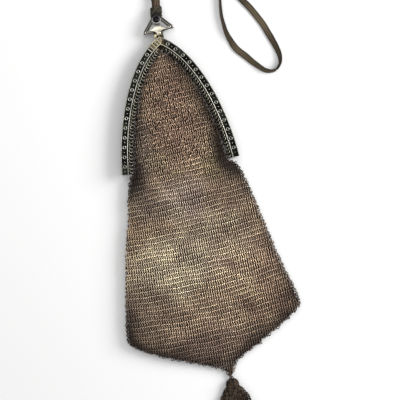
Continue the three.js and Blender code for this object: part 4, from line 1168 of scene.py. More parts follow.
def add_block(form, low, high, soft=0.18):
    """A block with its edges cut off."""
    low, high = np.array(low, float), np.array(high, float)
    sections = []
    for z, inset in ((low[2], soft), (low[2] + soft, 0), (high[2] - soft, 0), (high[2], soft)):
        x0, y0, x1, y1 = low[0] + inset, low[1] + inset, high[0] - inset, high[1] - inset
        cut = soft
        ring = [(x0 + cut, y0), (x1 - cut, y0), (x1, y0 + cut), (x1, y1 - cut)]
        ring += [(x1 - cut, y1), (x0 + cut, y1), (x0, y1 - cut), (x0, y0 + cut)]
        sections.append([(x, y, z) for x, y in ring])
    form.tube(sections)


def lugs_and_ears(form):
    """The lugs that hold the thumb piece's pins, and the hidden ears that take the hinge pins."""
    for side in (-1, 1):
        low_x, high_x = sorted((side * LUG_INNER_X, side * LUG_OUTER_X))
        turns = np.radians(np.linspace(-80, 80, 13))
        lug = [(LEVER_Y + LUG_RADIUS * math.cos(t), LEVER_Z + LUG_RADIUS * math.sin(t)) for t in turns]
        lug += [(LEVER_Y - 2.6, LEVER_Z + 0.95), (LEVER_Y - 2.6, LEVER_Z - 0.95)]
        form.tube([[(x, y, z) for y, z in lug] for x in (low_x, low_x + 0.1, high_x - 0.1, high_x)])
        ear_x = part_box("hinge_pin_right")[1].x / MM - 2.1
        low_x, high_x = sorted((side * ear_x, side * (ear_x + 0.7)))
        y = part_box("hinge_pin_right")[0].y / MM + 1.2
        add_block(form, (low_x, y - 1.4, 2.7), (high_x, y + 1.4, 7.0), soft=0.1)


def cut_corners(points, rounds=2, closed=True):
    """Rounds the corners of a line by cutting each one off, again and again."""
    points = np.asarray(points, float)
    for _ in range(rounds):
        after = np.roll(points, -1, axis=0) if closed else points[1:]
        first = points if closed else points[:-1]
        cut = np.stack([first * 0.75 + after * 0.25, first * 0.25 + after * 0.75], 1)
        cut = cut.reshape(-1, points.shape[1])
        points = cut if closed else np.concatenate([points[:1], cut[1:-1], points[-1:]])
    return points


def both_sides(half):
    """A closed outline from its right half, given from the bottom to the top."""
    half = np.asarray(half, float)
    return np.concatenate([half, half[::-1] * [-1, 1]])


def edited(name, points, edges, faces, *steps):
    """A new piece whose whole mesh goes through steps of edit mode, and then gets its normals right."""
    mesh = bpy.data.meshes.new(name)
    mesh.from_pydata(np.array(points) * MM, edges, faces)
    piece = put_in_scene(name, mesh)
    choose(piece)
    bpy.ops.object.mode_set(mode="EDIT")
    for step, settings in (*steps, (bpy.ops.mesh.normals_make_consistent, {"inside": False})):
        bpy.ops.mesh.select_all(action="SELECT")
        step(**settings)
    bpy.ops.object.mode_set(mode="OBJECT")
    return piece


def plate(name, outline, low, high, bevel):
    """A plate cut to an outline, with rounded edges."""
    points, face = [(x, y, low) for x, y in outline], list(range(len(outline)))
    rise = {"TRANSFORM_OT_translate": {"value": (0, 0, (high - low) * MM)}}
    piece = edited(name, points, [], [face], (bpy.ops.mesh.extrude_region_move, rise))
    rounded = piece.modifiers.new("rounded", "BEVEL")
    rounded.width, rounded.segments, rounded.limit_method = bevel * MM, 4, "ANGLE"
    apply_modifiers(piece)
    return piece


def spun(name, profile, foot, lean, steps=48):
    """A round body on an axis that leans towards the strap, from radii and heights above its foot."""
    points = [(radius, 0, height) for radius, height in profile]
    edges = [(k, k + 1) for k in range(len(points) - 1)]
    turn = {"steps": steps, "angle": 2 * math.pi, "center": (0, 0, 0), "axis": (0, 0, 1)}
    merge = bpy.ops.mesh.remove_doubles, {"threshold": 0.000002}
    piece = edited(name, points, edges, [], (bpy.ops.mesh.spin, turn), merge)
    mesh = piece.data
    y, z = foot
    c, s = math.cos(math.radians(lean)), math.sin(math.radians(lean))
    coordinates = np.array([v.co for v in mesh.vertices])
    turned = coordinates @ np.array([[1, 0, 0], [0, c, s], [0, -s, c]]).T + [0, y * MM, z * MM]
    mesh.vertices.foreach_set("co", turned.astype(np.float32).ravel())
    mesh.update()
    return piece


def joined(name, pieces):
    """Several pieces made one."""
    deselect_all()
    for piece in pieces:
        piece.select_set(True)
    bpy.context.view_layer.objects.active = pieces[0]
    if len(pieces) > 1:
        bpy.ops.object.join()
    pieces[0].name = name
    return pieces[0]


def askew(points):
    """The hanger's own slant, which fades out towards its foot."""
    points = np.array(points, float)
    fade = np.clip((points[:, 1] - HANGER_FOOT_Y) / 3 + 1, 0, 1)
    points[:, 1] += HANGER_SKEW * points[:, 0] * fade
    return points


def cuff_swing(points):
    """The cuff's swing about the hanger's lip."""
    points = np.array(points, float)
    points[:, 0] += CUFF_SWING * (points[:, 1] - HANGER_LIP_Y)
    return points


# The hanger's right half from the middle of its lower arm to its top: outer and inner edge of the bar.
HANGER_STATIONS = (
    ((0.0, 5.1), (0.0, 7.45)),
    ((2.6, 5.1), (2.6, 7.4)),
    ((4.8, 5.8), (4.4, 7.25)),
    ((7.4, 5.8), (5.6, 7.2)),
    ((9.5, 5.8), (6.0, 7.2)),
    ((9.7, 6.6), (6.1, 7.25)),
    ((8.6, 8.0), (5.6, 7.75)),
    ((4.9, 12.3), (3.0, 10.85)),
    ((1.9, 15.75), (0.6, 13.7)),
    ((1.0, 16.55), (0.25, 14.15)),
)
# Across the bar from its outer to its inner edge: share of the width, and height. It has two grooves.
HANGER_PROFILE = (
    (0.0, 2.8), (0.0, 4.5), (0.04, 4.8), (0.1, 4.95), (0.18, 4.9), (0.24, 4.3), (0.36, 4.3), (0.42, 4.85),
    (0.58, 4.9), (0.64, 4.3), (0.76, 4.3), (0.82, 4.9), (0.9, 4.95), (0.96, 4.8), (1.0, 4.5), (1.0, 2.8),
    (0.9, 2.6), (0.1, 2.6),
)


def hanger_form():
    """The grooved bar of the hanger and its tongue."""
    form = Form()
    edges = []
    for half in zip(*HANGER_STATIONS):
        half = np.array(half, float)
        edges.append(cut_corners(np.concatenate([half, half[:0:-1] * [-1, 1]]), rounds=3))
    outer, inner = edges
    sections = []
    for a, b in zip(outer, inner):
        sections.append([(*(a * (1 - share) + b * share), z) for share, z in HANGER_PROFILE])
    form.tube(sections, closed=True)
    tongue = Form()
    add_block(tongue, (-1.9, -1.3, 1.4), (1.9, 6.2, 3.4))
    add_block(tongue, (-2.2, 3.6, 2.7), (2.2, 6.6, 4.6), soft=0.4)
    form.points = [askew(p) for p in form.points]
    form.add(np.concatenate(tongue.points), np.concatenate(tongue.quads), tongue.polygons)
    return form


# The thumb piece's right half, from the frame up to the collet: blunt tips and hollow waists.
STAR_OUTLINE = (
    (1.6, 5.1), (1.75, 5.5), (2.3, 6.05), (3.4, 6.4), (4.7, 6.45), (4.75, 6.95), (3.3, 7.35), (2.3, 8.0),
    (1.75, 8.9), (1.35, 10.2), (1.35, 12.0),
)


def lever_pieces():
    """The thumb piece: star-shaped plate, knuckle with its pins and pawl, and collet."""
    star = plate(
        "clasp_star", cut_corners(both_sides(STAR_OUTLINE)), STAR_UNDER_Z, STAR_UNDER_Z + STAR_THICKNESS, 0.3
    )
    works = Form()
    add_rod(works, KNUCKLE_HALF_WIDTH, LEVER_Y, LEVER_Z, KNUCKLE_RADIUS)
    add_rod(works, LUG_OUTER_X, LEVER_Y, LEVER_Z, TRUNNION_RADIUS)
    add_block(works, (-KNUCKLE_HALF_WIDTH, LEVER_Y, LEVER_Z), (KNUCKLE_HALF_WIDTH, 5.6, 8.15))
    add_block(works, (-0.8, 6.0, 5.3), (0.8, 7.0, 7.6))
    foot_radius, seat = COLLET_FOOT_RADIUS, COLLET_HEIGHT - SEAT_DEPTH
    rim = COLLET_RADIUS - COLLET_WALL
    profile = [
        (0, 0), (foot_radius - 0.15, 0), (foot_radius, 0.12), (foot_radius, 0.55), (foot_radius - 0.2, 0.75),
        (foot_radius - 0.15, 1.0), (COLLET_RADIUS - 0.05, seat - 0.1), (COLLET_RADIUS, seat + 0.1),
        (COLLET_RADIUS, COLLET_HEIGHT - 0.15), (COLLET_RADIUS - 0.12, COLLET_HEIGHT),
        (rim + 0.1, COLLET_HEIGHT), (rim, COLLET_HEIGHT - 0.12), (rim, seat), (0, seat),
    ]
    collet = spun("clasp_collet", profile, collet_foot(), COLLET_LEAN)
    return [star, works.piece("clasp_works"), collet]


def collet_foot():
    """Where the collet's axis starts, on the star's plate: y and z."""
    lean = math.radians(COLLET_LEAN)
    return COLLET_Y - COLLET_HEIGHT * math.sin(lean), STAR_UNDER_Z + COLLET_FOOT_RADIUS * math.sin(lean) - 0.2


def stone_piece():
    """The domed stone, set in the collet with a small gap all round."""
    radius = COLLET_RADIUS - COLLET_WALL - STONE_GAP
    floor = COLLET_HEIGHT - SEAT_DEPTH + STONE_GAP
    girdle = floor + STONE_GIRDLE
    turns = [math.radians(90 * k / 12) for k in range(12)]
    arc = [(radius * math.cos(t), girdle + STONE_DOME * math.sin(t)) for t in turns]
    arc.append((0, girdle + STONE_DOME))
    return spun("black_cabochon", [(0, floor), (radius, floor), *arc], collet_foot(), COLLET_LEAN)


class Sleeve:
    """The cuff's round-cornered section, by the distance round it."""

    HALF_WIDE, HALF_HIGH, CORNER = 3.05, 2.15, 1.3

    def __init__(self):
        a, b, r = self.HALF_WIDE - self.CORNER, self.HALF_HIGH - self.CORNER, self.CORNER
        line = []
        for turn, (cx, cz) in enumerate(((a, b), (-a, b), (-a, -b), (a, -b))):
            for angle in np.linspace(0, 90, 9):
                t = math.radians(angle + 90 * turn)
                line.append((cx + r * math.cos(t), cz + r * math.sin(t)))
        line.append(line[0])
        self.line = np.array(line)
        self.at = lengths_along(self.line)
        self.round = self.at[-1]

    def place(self, distance, out):
        distance = np.mod(distance, self.round)
        x, z = places_along(distance, self.at, self.line)
        ahead = np.mod(distance + 0.05, self.round)
        ax, az = places_along(ahead, self.at, self.line)
        along = unit(np.stack([ax - x, az - z], -1))
        normal = np.stack([along[:, 1], -along[:, 0]], -1)
        return np.stack([x, z], -1) + normal * np.asarray(out)[..., None], normal


def tube_along(form, points, outs, wide, high, sides=8, **marks):
    """A flattened strand through points, whose flat side faces along outs."""
    ahead = unit(np.gradient(points, axis=0))
    across = unit(np.cross(ahead, outs))
    outs = np.cross(across, ahead)
    turns = np.arange(sides) / sides * 2 * math.pi
    wide = np.broadcast_to(wide, len(points))[:, None, None]
    high = np.broadcast_to(high, len(points))[:, None, None]
    beside = across[:, None] * np.cos(turns)[None, :, None] * wide
    form.tube(points[:, None] + (beside + outs[:, None] * np.sin(turns)[None, :, None] * high), **marks)


def cuff_plait(form):
    """Strands that wind both ways round the cuff and pass over and under each other."""
    sleeve = Sleeve()
    strands, steps = 9, 40
    low, high = CUFF_PLAIT_Y
    rise = np.linspace(0, 1, steps)
    spacing = sleeve.round / strands
    for way in (-1, 1):
        for k in range(strands):
            y = low + (high - low) * rise
            distance = k * spacing + way * (y - low) * 0.95
            crossings = distance / spacing * 2 * math.pi
            out = 0.22 * way * np.cos(crossings / 2 + way * math.pi * k / 2 + (y - low) * 2.2)
            place, normal = sleeve.place(distance, out)
            points = np.column_stack([place[:, 0], y, BAIL_MID_Z + place[:, 1]])
            outs = np.column_stack([normal[:, 0], np.zeros(steps), normal[:, 1]])
            shade = 0.25 + 0.5 * ((k * 7 + (way > 0) * 3) % 5) / 4
            # Painted shade: every second strand is darker, and a painted shadow darkens the cuff's lower end by
            # the collet.
            strand_shade = np.repeat(0.1 + 0.3 * (k % 2) + np.clip((17.6 - y) / 1.2, 0, 1), 8)
            tube_along(form, points, outs, 0.55, 0.3, tint=shade, tarnish=strand_shade)
    for y in (low, high):
        distance = np.linspace(0, sleeve.round, 49)[:-1]
        place, normal = sleeve.place(distance, np.full(48, 0.0))
        sections = []
        for (x, z), (nx, nz) in zip(place, normal):
            turns = np.arange(8) / 8 * 2 * math.pi
            reach = 0.3 * np.cos(turns)
            sections.append(np.column_stack([
                x + nx * reach, y + 0.34 * np.sin(turns), BAIL_MID_Z + z + nz * reach
            ]))
        form.tube(sections, closed=True, tint=0.3, tarnish=0.5)


def cuff_core(form):
    """The dark sleeve inside the plait, whose near black is painted shade between the strands, and the neck
    that runs through the hanger.
    """
    sleeve = Sleeve()
    distance = np.linspace(0, sleeve.round, 49)[:-1]
    rows = ((12.3, 0.35), (12.9, 0.5), (13.8, 0.75), (14.6, 0.95), (14.9, 0.97), (20.1, 0.97), (20.3, 0.9))
    sections = []
    for y, share in rows:
        place, _ = sleeve.place(distance, np.zeros(48))
        sections.append(np.column_stack([place[:, 0] * share, np.full(48, y), BAIL_MID_Z + place[:, 1]]))
    form.tube(sections, tint=0.1, tarnish=1.0)


# The loop's open end: shares of its reach to the right and of its fall below the frame's point, and how far
# the band stands up, in degrees (0 lies flat and 90 stands on its edge).
LOOP_ROUTE = (
    (0.652, -0.72, 80),
    (0.752, -0.43, 30),
    (0.807, -0.26, 10),
    (0.851, -0.09, 0),
    (0.891, 0.08, 0),
    (0.921, 0.25, 10),
    (0.948, 0.41, 30),
    (0.973, 0.57, 40),
    (0.987, 0.735, 60),
    (0.977, 0.87, 78),
    (0.93, 0.975, 82),
    (0.857, 0.96, 65),
    (0.767, 0.79, 42),
    (0.702, 0.625, 20),
    (0.63, 0.445, 15),
    (0.594, 0.278, 40),
    (0.569, 0.114, 60),
    (0.559, -0.044, 70),
    (0.553, -0.2, 74),
    (0.556, -0.35, 78),
    (0.563, -0.5, 82),
)


def resting_z(tilt):
    """The height of the band's middle where it touches the floor at this tilt."""
    turn = np.radians(tilt)
    return STRAP_LIFT + STRAP_WIDTH / 2 * np.sin(turn) + STRAP_THICKNESS / 2 * np.cos(turn)


def strap_route():
    """Places of the whole strap from cuff to cuff: x, y, height of its middle and tilt."""
    half = (STRAP_THICKNESS + STRAP_SPACING) / 2
    turned = CUFF_TOP_Y + (ARCH_SPRING_Y - CUFF_TOP_Y) * 0.6

    def leg(side):
        x, z = side * STRAP_OFFSET, BAIL_MID_Z + side * half
        spread = 0.75
        return [
            (x, CUFF_TOP_Y - POCKET_DEPTH + 0.3, z, 0),
            (x, CUFF_TOP_Y, z, 0),
            (x, CUFF_TOP_Y + STRAP_WIDTH / 2, z, 4),
            (side * (STRAP_OFFSET + half) * spread, turned, BAIL_MID_Z * 0.8 + side * half * spread, 45),
        ]

    def arc(radius):
        turns = [math.pi * (1 - k / 8) for k in range(9)]
        middle = ARCH_SPAN / 2
        z = resting_z(90)
        return [(middle + radius * math.cos(t), ARCH_SPRING_Y + radius * math.sin(t), z, 90) for t in turns]

    loop = [
        (right * LOOP_REACH, -down * LOOP_FALL, resting_z(tilt), tilt) for right, down, tilt in LOOP_ROUTE
    ]
    middle = ARCH_SPAN / 2
    whole = [*leg(-1), *arc(middle + half), *loop, *arc(middle - half)[::-1], *leg(1)[::-1]]
    return np.array(whole, float) + [0, POINT_Y, 0, 0]


def through_points(points, weights, per_span=24):
    """A centripetal curve through points: its knots are set by the distances of their weighted places."""
    ends = [2 * points[0] - points[1]], [2 * points[-1] - points[-2]]
    all_points = np.concatenate([ends[0], points, ends[1]])
    gaps = (((np.diff(all_points, axis=0) * weights) ** 2).sum(1)) ** 0.25
    found = []
    for k in range(1, len(all_points) - 2):
        p0, p1, p2, p3 = all_points[k - 1:k + 3]
        g0, g1, g2 = gaps[k - 1:k + 2]
        t1 = ((p1 - p0) / g0 - (p2 - p0) / (g0 + g1) + (p2 - p1) / g1) * g1
        t2 = ((p2 - p1) / g1 - (p3 - p1) / (g1 + g2) + (p3 - p2) / g2) * g1
        s = np.linspace(0, 1, per_span, endpoint=False)[:, None]
        found.append(
            p1 + t1 * s + (-3 * p1 + 3 * p2 - 2 * t1 - t2) * s ** 2 + (2 * p1 - 2 * p2 + t1 + t2) * s ** 3
        )
    return np.concatenate([*found, points[-1:]])


def band_section(ribs=STRAP_RIBS, per_rib=5):
    """Across the band: shares of its half width and half thickness, with round ribs on both sides."""
    face = []
    for k in range(ribs * per_rib + 1):
        across = k / (ribs * per_rib)
        rib = abs(math.sin(math.pi * across * ribs)) ** 0.6
        face.append((2 * across - 1, 0.72 + 0.28 * rib if 0 < k < ribs * per_rib else 0.45))
    back = [(-a, -b) for a, b in face]
    return np.array(face + back)


def strap_piece():
    """The ribbed band along its whole route, with its own map: u along it and v across it."""
    route = through_points(strap_route(), np.array([1, 1, 0, 0.1]))
    at = lengths_along(route[:, :2])
    even = np.linspace(0, at[-1], 520)
    x, y, z, tilt = (np.interp(even, at, route[:, k]) for k in range(4))
    tilt = np.clip(tilt, 0, 90)
    z = np.maximum(z, resting_z(tilt))
    cuff_end = CUFF_TOP_Y + POINT_Y
    fade = np.clip((SWING_FADE_Y - y) / 20, 0, 1)
    near_cuff = np.clip(y - cuff_end, 0, 1) * fade * (x < LEG_REACH_X)
    inside = (y < cuff_end + 0.01) & (x < 5) & (y > 15)
    shift = CUFF_SWING * (y - HANGER_LIP_Y)
    reach = CUFF_SWING * (SWING_END_Y - HANGER_LIP_Y)
    fading = np.minimum(shift, reach) * (near_cuff > 0) * fade
    x = x + np.where(inside, shift, fading * (y > cuff_end))
    side_sign = np.where(np.arange(len(even)) < len(even) / 2, 1.0, -1.0)
    turn = np.radians(tilt) * side_sign
    ahead = unit(np.stack([np.gradient(x), np.gradient(y)], -1))
    side = np.column_stack([ahead[:, 1], -ahead[:, 0], np.zeros(len(even))])
    up = np.array([0.0, 0.0, 1.0])
    across = side * np.cos(turn)[:, None] - up * np.sin(turn)[:, None]
    out = side * np.sin(turn)[:, None] + up * np.cos(turn)[:, None]
    section = band_section()
    middle = np.column_stack([x, y, z])
    sections = (
        middle[:, None]
        + across[:, None] * section[None, :, :1] * STRAP_WIDTH / 2
        + out[:, None] * section[None, :, 1:] * STRAP_THICKNESS / 2
    )
    form = Form()
    form.tube(sections, tarnish=0.0)
    mesh = form.mesh("strap_band")
    columns = len(section)
    indices = np.zeros(len(mesh.loops), np.int32)
    mesh.loops.foreach_get("vertex_index", indices)
    share = np.linspace(0, 2, columns, endpoint=False)
    across_mm = np.where(share <= 1, share, 2 - share) * STRAP_WIDTH
    layer = mesh.uv_layers.new(name="weave")
    row, column = np.minimum(indices // columns, len(even) - 1), indices % columns
    layer.data.foreach_set("uv", np.column_stack([even[row], across_mm[column]]).astype(np.float32).ravel())
    return put_in_scene("strap_band", mesh)


# How the skirt opens below the knob's middle: share of its length, of its half width and of its height.
SKIRT_ROWS = (
    (0.0, 0.16, 0.55),
    (0.07, 0.42, 0.85),
    (0.19, 0.68, 1.0),
    (0.45, 0.86, 0.92),
    (0.75, 0.96, 0.78),
    (1.0, 1.0, 0.6),
)


def skirt(down):
    """Shares of the skirt's half width and height at this share of its length."""
    downs, widths, heights = zip(*SKIRT_ROWS)
    return np.interp(down, downs, widths), np.interp(down, downs, heights)


def tassel_core():
    """The dark mass behind the chains, near black as painted shade among them, and the knob under its rings."""
    form = Form()
    turns = np.arange(24) / 24 * 2 * math.pi
    sections = []
    for down in (0.03, 0.07, 0.13, 0.19, 0.3, 0.45, 0.6, 0.75, 0.86):
        width, height = skirt(down)
        wide, high = width * SKIRT_HALF_WIDTH * 0.82, height * SKIRT_HEIGHT
        low = 0.9
        sections.append(np.column_stack([
            TASSEL_X + wide * np.cos(turns),
            np.full(24, KNOB_Y - down * SKIRT_LENGTH),
            (low + high - 0.9) / 2 + (high - 0.9 - low) / 2 * np.sin(turns),
        ]))
    form.tube(sections, tint=0.1, tarnish=1.0)
    ball, faces = primitive(bpy.ops.mesh.primitive_uv_sphere_add, segments=24, ring_count=14, radius=0.5)
    form.add(ball * KNOB_CORE_WIDTHS + KNOB_MIDDLE, [], faces, tint=0.1, tarnish=1.0)
    return form


def tassel_chains(settings):
    """Chains of small rings that fall from the knob in three layers, and the rings that wrap the knob."""
    rng = np.random.default_rng(31)
    shape = ring_shape(**CHAIN_RING)
    form = Form()
    for layer, (share, depth) in enumerate(((1.0, 1.0), (0.93, 0.55), (0.9, 0.1))):
        count = settings.chains + 2 - layer
        for k in range(count):
            across = (2 * k / (count - 1) - 1) * share
            length = SKIRT_LENGTH * (1 - 0.05 * abs(across) - 0.02 * rng.uniform(0, 1) - 0.012 * layer)
            at = np.arange(0.035, 1 - 0.6 / length, CHAIN_PITCH / length)
            sway = rng.uniform(-0.5, 0.5) * np.sin(at * 5 + rng.uniform(0, 6))
            width, height = skirt(at)
            x = TASSEL_X + across * width * (SKIRT_HALF_WIDTH - 0.9) + sway * at
            y = KNOB_Y - at * length
            low, high = 1.0, height * SKIRT_HEIGHT - 0.95
            bulge = np.sqrt(np.clip(1 - (across / 1.12) ** 2, 0, 1))
            z = (low + high) / 2 + (high - low) * (depth - 0.5) * bulge
            points = np.column_stack([x, y, np.clip(z, 1.05, None)])
            ahead = unit(np.gradient(points, axis=0))
            across3 = unit(np.cross(ahead, np.tile([0.0, 0.0, 1.0], (len(at), 1))))
            up = np.cross(across3, ahead)
            turns = turn_matrices(ahead, across3 * -1, up)
            turn = np.where(np.arange(len(at)) % 2 == 0, 1, -1) * 0.7 + rng.normal(0, 0.15, len(at))
            turns = turns @ about("x", turn)
            # Painted highlights: a few rings at random are lit, and each ring's raised side is lightened.
            tint = np.where(rng.uniform(0, 1, len(at)) < 0.24, 0.8, -0.4)
            form.rings(shape, points, turns, tint=tint, tarnish=rng.uniform(0.86, 1.0), height_shade=1.2)
    for k, latitude in enumerate(np.radians([-62, -42, -23, -5, 13, 31, 49, 68])):
        around = max(6, int(round(2 * math.pi * 3.6 * math.cos(latitude) / 1.5)))
        longitude = (np.arange(around) + 0.5 * (k % 2)) / around * 2 * math.pi
        out = np.column_stack([
            np.cos(latitude) * np.cos(longitude),
            np.full(around, np.sin(latitude)),
            np.cos(latitude) * np.sin(longitude),
        ])
        points = out * KNOB_RADII + KNOB_MIDDLE
        normal = unit(out / [4.0, 3.2, 2.8])
        beside = unit(np.cross(np.tile([0.0, 1.0, 0.0], (around, 1)), normal))
        turns = turn_matrices(beside, np.cross(normal, beside), normal)
        turns = turns @ about("y", np.full(around, 0.5 if k % 2 else -0.5) + rng.normal(0, 0.1, around))
        # Painted highlights: a few rings at random are lit, and each ring's raised side is lightened.
        tint = np.where(rng.uniform(0, 1, around) < 0.35, 0.8, -0.3)
        form.rings(shape, points, turns, tint=tint, tarnish=0.84, height_shade=1.0)
    add_eye(form, TASSEL_EYE_Y)
    return form


class PurseSizes(bpy.types.PropertyGroup):
    ring_size: FloatProperty(
        name="Ring Size", description="Outer width of a mesh ring", default=2.2 * MM, unit="LENGTH"
    )
    wire: FloatProperty(
        name="Wire", description="Thickness of the rings' wire", default=0.33 * MM, unit="LENGTH"
    )
    ring_pitch: FloatProperty(
        name="Ring Pitch", description="Distance between rings of a row", default=1.3 * MM, unit="LENGTH"
    )
    row_pitch: FloatProperty(
        name="Row Pitch", description="Distance between rows of rings", default=1.47 * MM, unit="LENGTH"
    )
    row_pairing: FloatProperty(
        name="Row Pairing",
        description="How much nearer the two rows of a pair lie",
        default=0.52 * MM,
        unit="LENGTH",
    )
    ring_lean: FloatProperty(
        name="Ring Lean", description="How far a ring leans on its neighbour, in degrees", default=40.0
    )
    # Painted highlight and painted shade: how much a ring's lightness mark rises where it stands up and falls
    # where it sinks.
    wear_and_height_shade: FloatProperty(
        name="Wear", description="How much brighter a ring is for each millimetre it stands up", default=1.0
    )
    ring_tilt: FloatProperty(
        name="Ring Tilt", description="Degrees by which a ring dips between the pairs of rows", default=32.0
    )
    ring_slant: FloatProperty(
        name="Ring Slant", description="How far the rings of a row slant sideways, in degrees", default=9.0
    )
    chains: IntProperty(
        name="Tassel Chains", description="Chains that hang in the tassel's middle layer", default=13, min=3
    )


class PurseColours(bpy.types.PropertyGroup):
    mesh_colour: FloatVectorProperty(
        name="Mesh", description="Aged wire of the mesh", default=(0.42, 0.31, 0.21), subtype="COLOR"
    )
    # Also the near black of the painted shade.
    tarnish_colour: FloatVectorProperty(
        name="Tarnish", description="Darkest tarnish of mesh", default=(0.02, 0.0135, 0.012), subtype="COLOR"
    )
    silver_colour: FloatVectorProperty(
        name="Silver", description="Worn silver of the relief", default=(0.42, 0.41, 0.36), subtype="COLOR"
    )
    polished_colour: FloatVectorProperty(
        name="Polished Silver", description="Thumb piece", default=(0.50, 0.475, 0.39), subtype="COLOR"
    )
    floor_tone: FloatProperty(
        name="Floor", description="How pale the floor is", default=0.53, min=0, max=1, subtype="FACTOR"
    )


def sizes():
    return bpy.context.scene.purse_sizes


def colours():
    return bpy.context.scene.purse_colours


MATERIALS = {}


def material(name, make):
    """A finish, made once and then shared."""
    if name not in MATERIALS:
        MATERIALS[name] = make()
    return MATERIALS[name]


def mesh_material():
    return material("ring", lambda: ring_metal(colours()))


class PURSE_OT_stage(bpy.types.Operator):
    """Add the camera, the floor and the soft lights."""

    bl_idname = "purse.stage"
    bl_label = "Stage"

    def execute(self, context):
        view_middle, view_width, focus_z = (8.0, -98.0), 240.0, 4.0
        camera = bpy.data.cameras.new("camera")
        camera.lens, camera.sensor_width, camera.clip_start = 200, 36, 0.01
        eye = bpy.data.objects.new("camera", camera)
        context.scene.collection.objects.link(eye)
        context.scene.camera = eye
        height = focus_z + view_width * camera.lens / camera.sensor_width
        eye.location = Vector((*view_middle, height)) * MM
        eye.rotation_euler = (0, 0, math.radians(-9.5))
        deselect_all()
        bpy.ops.mesh.primitive_plane_add(size=3.0, location=(0, 0, -0.00002))
        floor = context.object
        floor.name = "floor"
        floor.data.materials.append(pale_floor(colours()))
        for name, place, target, size, power in (
            ("key_light", (640, 60, 400), (10, -100, 0), 420, 10.0),
            ("top_light", (-120, 260, 700), (10, -90, 0), 300, 1.2),
        ):
            light = bpy.data.lights.new(name, "AREA")
            light.size = size * MM
            light.energy = power
            lamp = bpy.data.objects.new(name, light)
            context.scene.collection.objects.link(lamp)
            lamp.location = Vector(place) * MM
            lamp.rotation_euler = (Vector(target) - Vector(place)).to_track_quat("-Z", "Y").to_euler()
        context.scene.world = studio_sky(1.25)
        context.scene.view_settings.view_transform = "Standard"
        return {"FINISHED"}


class PURSE_OT_bag(bpy.types.Operator):
    """Add the two faces of ring mesh, the rings along its folded edges and the gathered tip."""

    bl_idname = "purse.bag"
    bl_label = "Ring Mesh Bag"

    def execute(self, context):
        bag = Bag()
        front, back, edges = Form(), Form(), Form()
        lay_sheet(front, bag, sizes(), True, seed=11)
        lay_sheet(back, bag, sizes(), False, seed=23)
        lay_edges(edges, bag, sizes(), seed=5)
        lay_tip(edges, seed=8)
        kwargs = {"replaces": ("mesh_pouch",), "smooth_angle": 80}
        ring_pieces("mesh_front", front, mesh_material(), "ring_mesh", ring_faces=32, **kwargs)
        ring_pieces("mesh_back", back, mesh_material(), "ring_mesh", ring_faces=18, **kwargs)
        dress(edges.piece("mesh_edge"), mesh_material(), "ring_mesh", **kwargs)
        shade = Form()
        lay_shade(shade, bag)
        depth = material("depth", depth_shade)
        dress(shade.piece("mesh_shade"), depth, "ring_mesh", **kwargs)
        return {"FINISHED"}


class PURSE_OT_frame(bpy.types.Operator):
    """Add the finer front half of the frame and the rings that hang the mesh in it."""

    bl_idname = "purse.frame"
    bl_label = "Frame"

    def execute(self, context):
        silver = material("silver", lambda: frame_silver(colours()))
        form = frame_front_form()
        dress(
            form.piece("frame_band"), silver, "aged_silver", replaces=("frame_front",)
        )
        links = Form()
        frame_links(links, True, seed=3)
        frame_links(links, False, seed=4)
        wire = material("link", link_metal)
        dress(links.piece("frame_links"), wire, "ring_mesh", smooth_angle=80)
        for node in ("frame_back", "hinge_pin_left", "hinge_pin_right"):
            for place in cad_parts[node].material_slots:
                place.material = silver
        return {"FINISHED"}


class PURSE_OT_clasp(bpy.types.Operator):
    """Add the hanger, the thumb piece with its collet, and the black stone."""

    bl_idname = "purse.clasp"
    bl_label = "Clasp and Hanger"

    def execute(self, context):
        hanger = hanger_form().piece("hanger")
        dress(hanger, material("dull", dull_silver), "aged_silver", replaces=("bail",))
        lever = joined("thumb_lever", lever_pieces())
        polished = material("thumb", lambda: thumb_silver(colours()))
        dress(lever, polished, "polished_silver", "thumb_piece", replaces=("clasp_lever",))
        stone = material("stone", black_stone)
        dress(stone_piece(), stone, "black_stone", "thumb_piece", replaces=("cabochon",))
        return {"FINISHED"}


class PURSE_OT_strap(bpy.types.Operator):
    """Add the plaited cuff and the ribbed wrist loop."""

    bl_idname = "purse.strap"
    bl_label = "Cuff and Strap"

    def execute(self, context):
        form = Form()
        cuff_core(form)
        cuff_plait(form)
        form.points = [cuff_swing(p) for p in form.points]
        mesh = form.mesh("cuff_plait")
        mesh.uv_layers.new(name="weave")
        plait = material("plait", lambda: woven(
            "plaited_leather", (0.035, 0.031, 0.02), (0.085, 0.075, 0.05), (0.005, 0.0045, 0.004), 0
        ))
        cuff = put_in_scene("cuff_plait", mesh)
        dress(cuff, plait, "plaited_cuff", replaces=("strap_cuff",), smooth_angle=60)
        braid = material("braid", lambda: woven(
            "ribbed_braid", (0.045, 0.028, 0.02), (0.07, 0.055, 0.03), (0.006, 0.0045, 0.0035), STRAP_RIBS
        ))
        dress(strap_piece(), braid, "woven_braid", replaces=("strap",), smooth_angle=60)
        return {"FINISHED"}


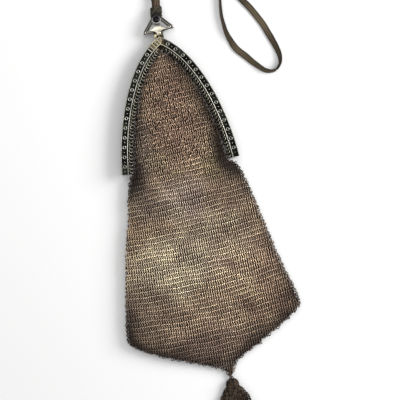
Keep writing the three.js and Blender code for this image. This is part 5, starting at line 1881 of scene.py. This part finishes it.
class PURSE_OT_tassel(bpy.types.Operator):
    """Add the link, the tassel's knob and its chains."""

    bl_idname = "purse.tassel"
    bl_label = "Tassel"

    def execute(self, context):
        core = tassel_core().piece("tassel_core")
        dress(core, mesh_material(), "ring_mesh", replaces=("tassel",), smooth_angle=60)
        form = tassel_chains(sizes())
        chains = form.piece("tassel_chains")
        dress(chains, mesh_material(), "ring_mesh", replaces=("tassel",), smooth_angle=80)
        link = Form()
        shape = ring_shape(1.6, 0.3, 32, 12)
        middle = [[TASSEL_X, (TIP_EYE_Y + TASSEL_EYE_Y) / 2, EYE_Z]]
        link.rings(shape, middle, about("y", [math.pi / 2]), tint=0.35, tarnish=0.75)
        piece = link.piece("tip_link")
        dress(piece, mesh_material(), "ring_mesh", replaces=("tassel_link",), smooth_angle=80)
        return {"FINISHED"}


CLASSES = (
    PurseSizes, PurseColours, PURSE_OT_stage, PURSE_OT_bag, PURSE_OT_frame, PURSE_OT_clasp, PURSE_OT_strap,
    PURSE_OT_tassel,
)


class PURSE_PT_pieces(bpy.types.Panel):
    """The purse's sizes, colours and pieces."""

    bl_label = "Ring Mesh Purse"
    bl_idname = "PURSE_PT_pieces"
    bl_space_type = "VIEW_3D"
    bl_region_type = "UI"
    bl_category = "Mesh Purse"

    def draw(self, context):
        for group in (context.scene.purse_sizes, context.scene.purse_colours):
            for key in group.bl_rna.properties.keys():
                if key not in ("rna_type", "name"):
                    self.layout.prop(group, key)
        for step in STEPS:
            self.layout.operator("purse." + step)


STEPS = ("stage", "bag", "frame", "clasp", "strap", "tassel")


def register():
    for cls in (*CLASSES, PURSE_PT_pieces):
        bpy.utils.register_class(cls)
    bpy.types.Scene.purse_sizes = PointerProperty(type=PurseSizes)
    bpy.types.Scene.purse_colours = PointerProperty(type=PurseColours)


def unregister():
    del bpy.types.Scene.purse_colours
    del bpy.types.Scene.purse_sizes
    for cls in reversed((*CLASSES, PURSE_PT_pieces)):
        bpy.utils.unregister_class(cls)


def main():
    register()
    for step in STEPS:
        getattr(bpy.ops.purse, step)()


if __name__ == "__main__":
    main()
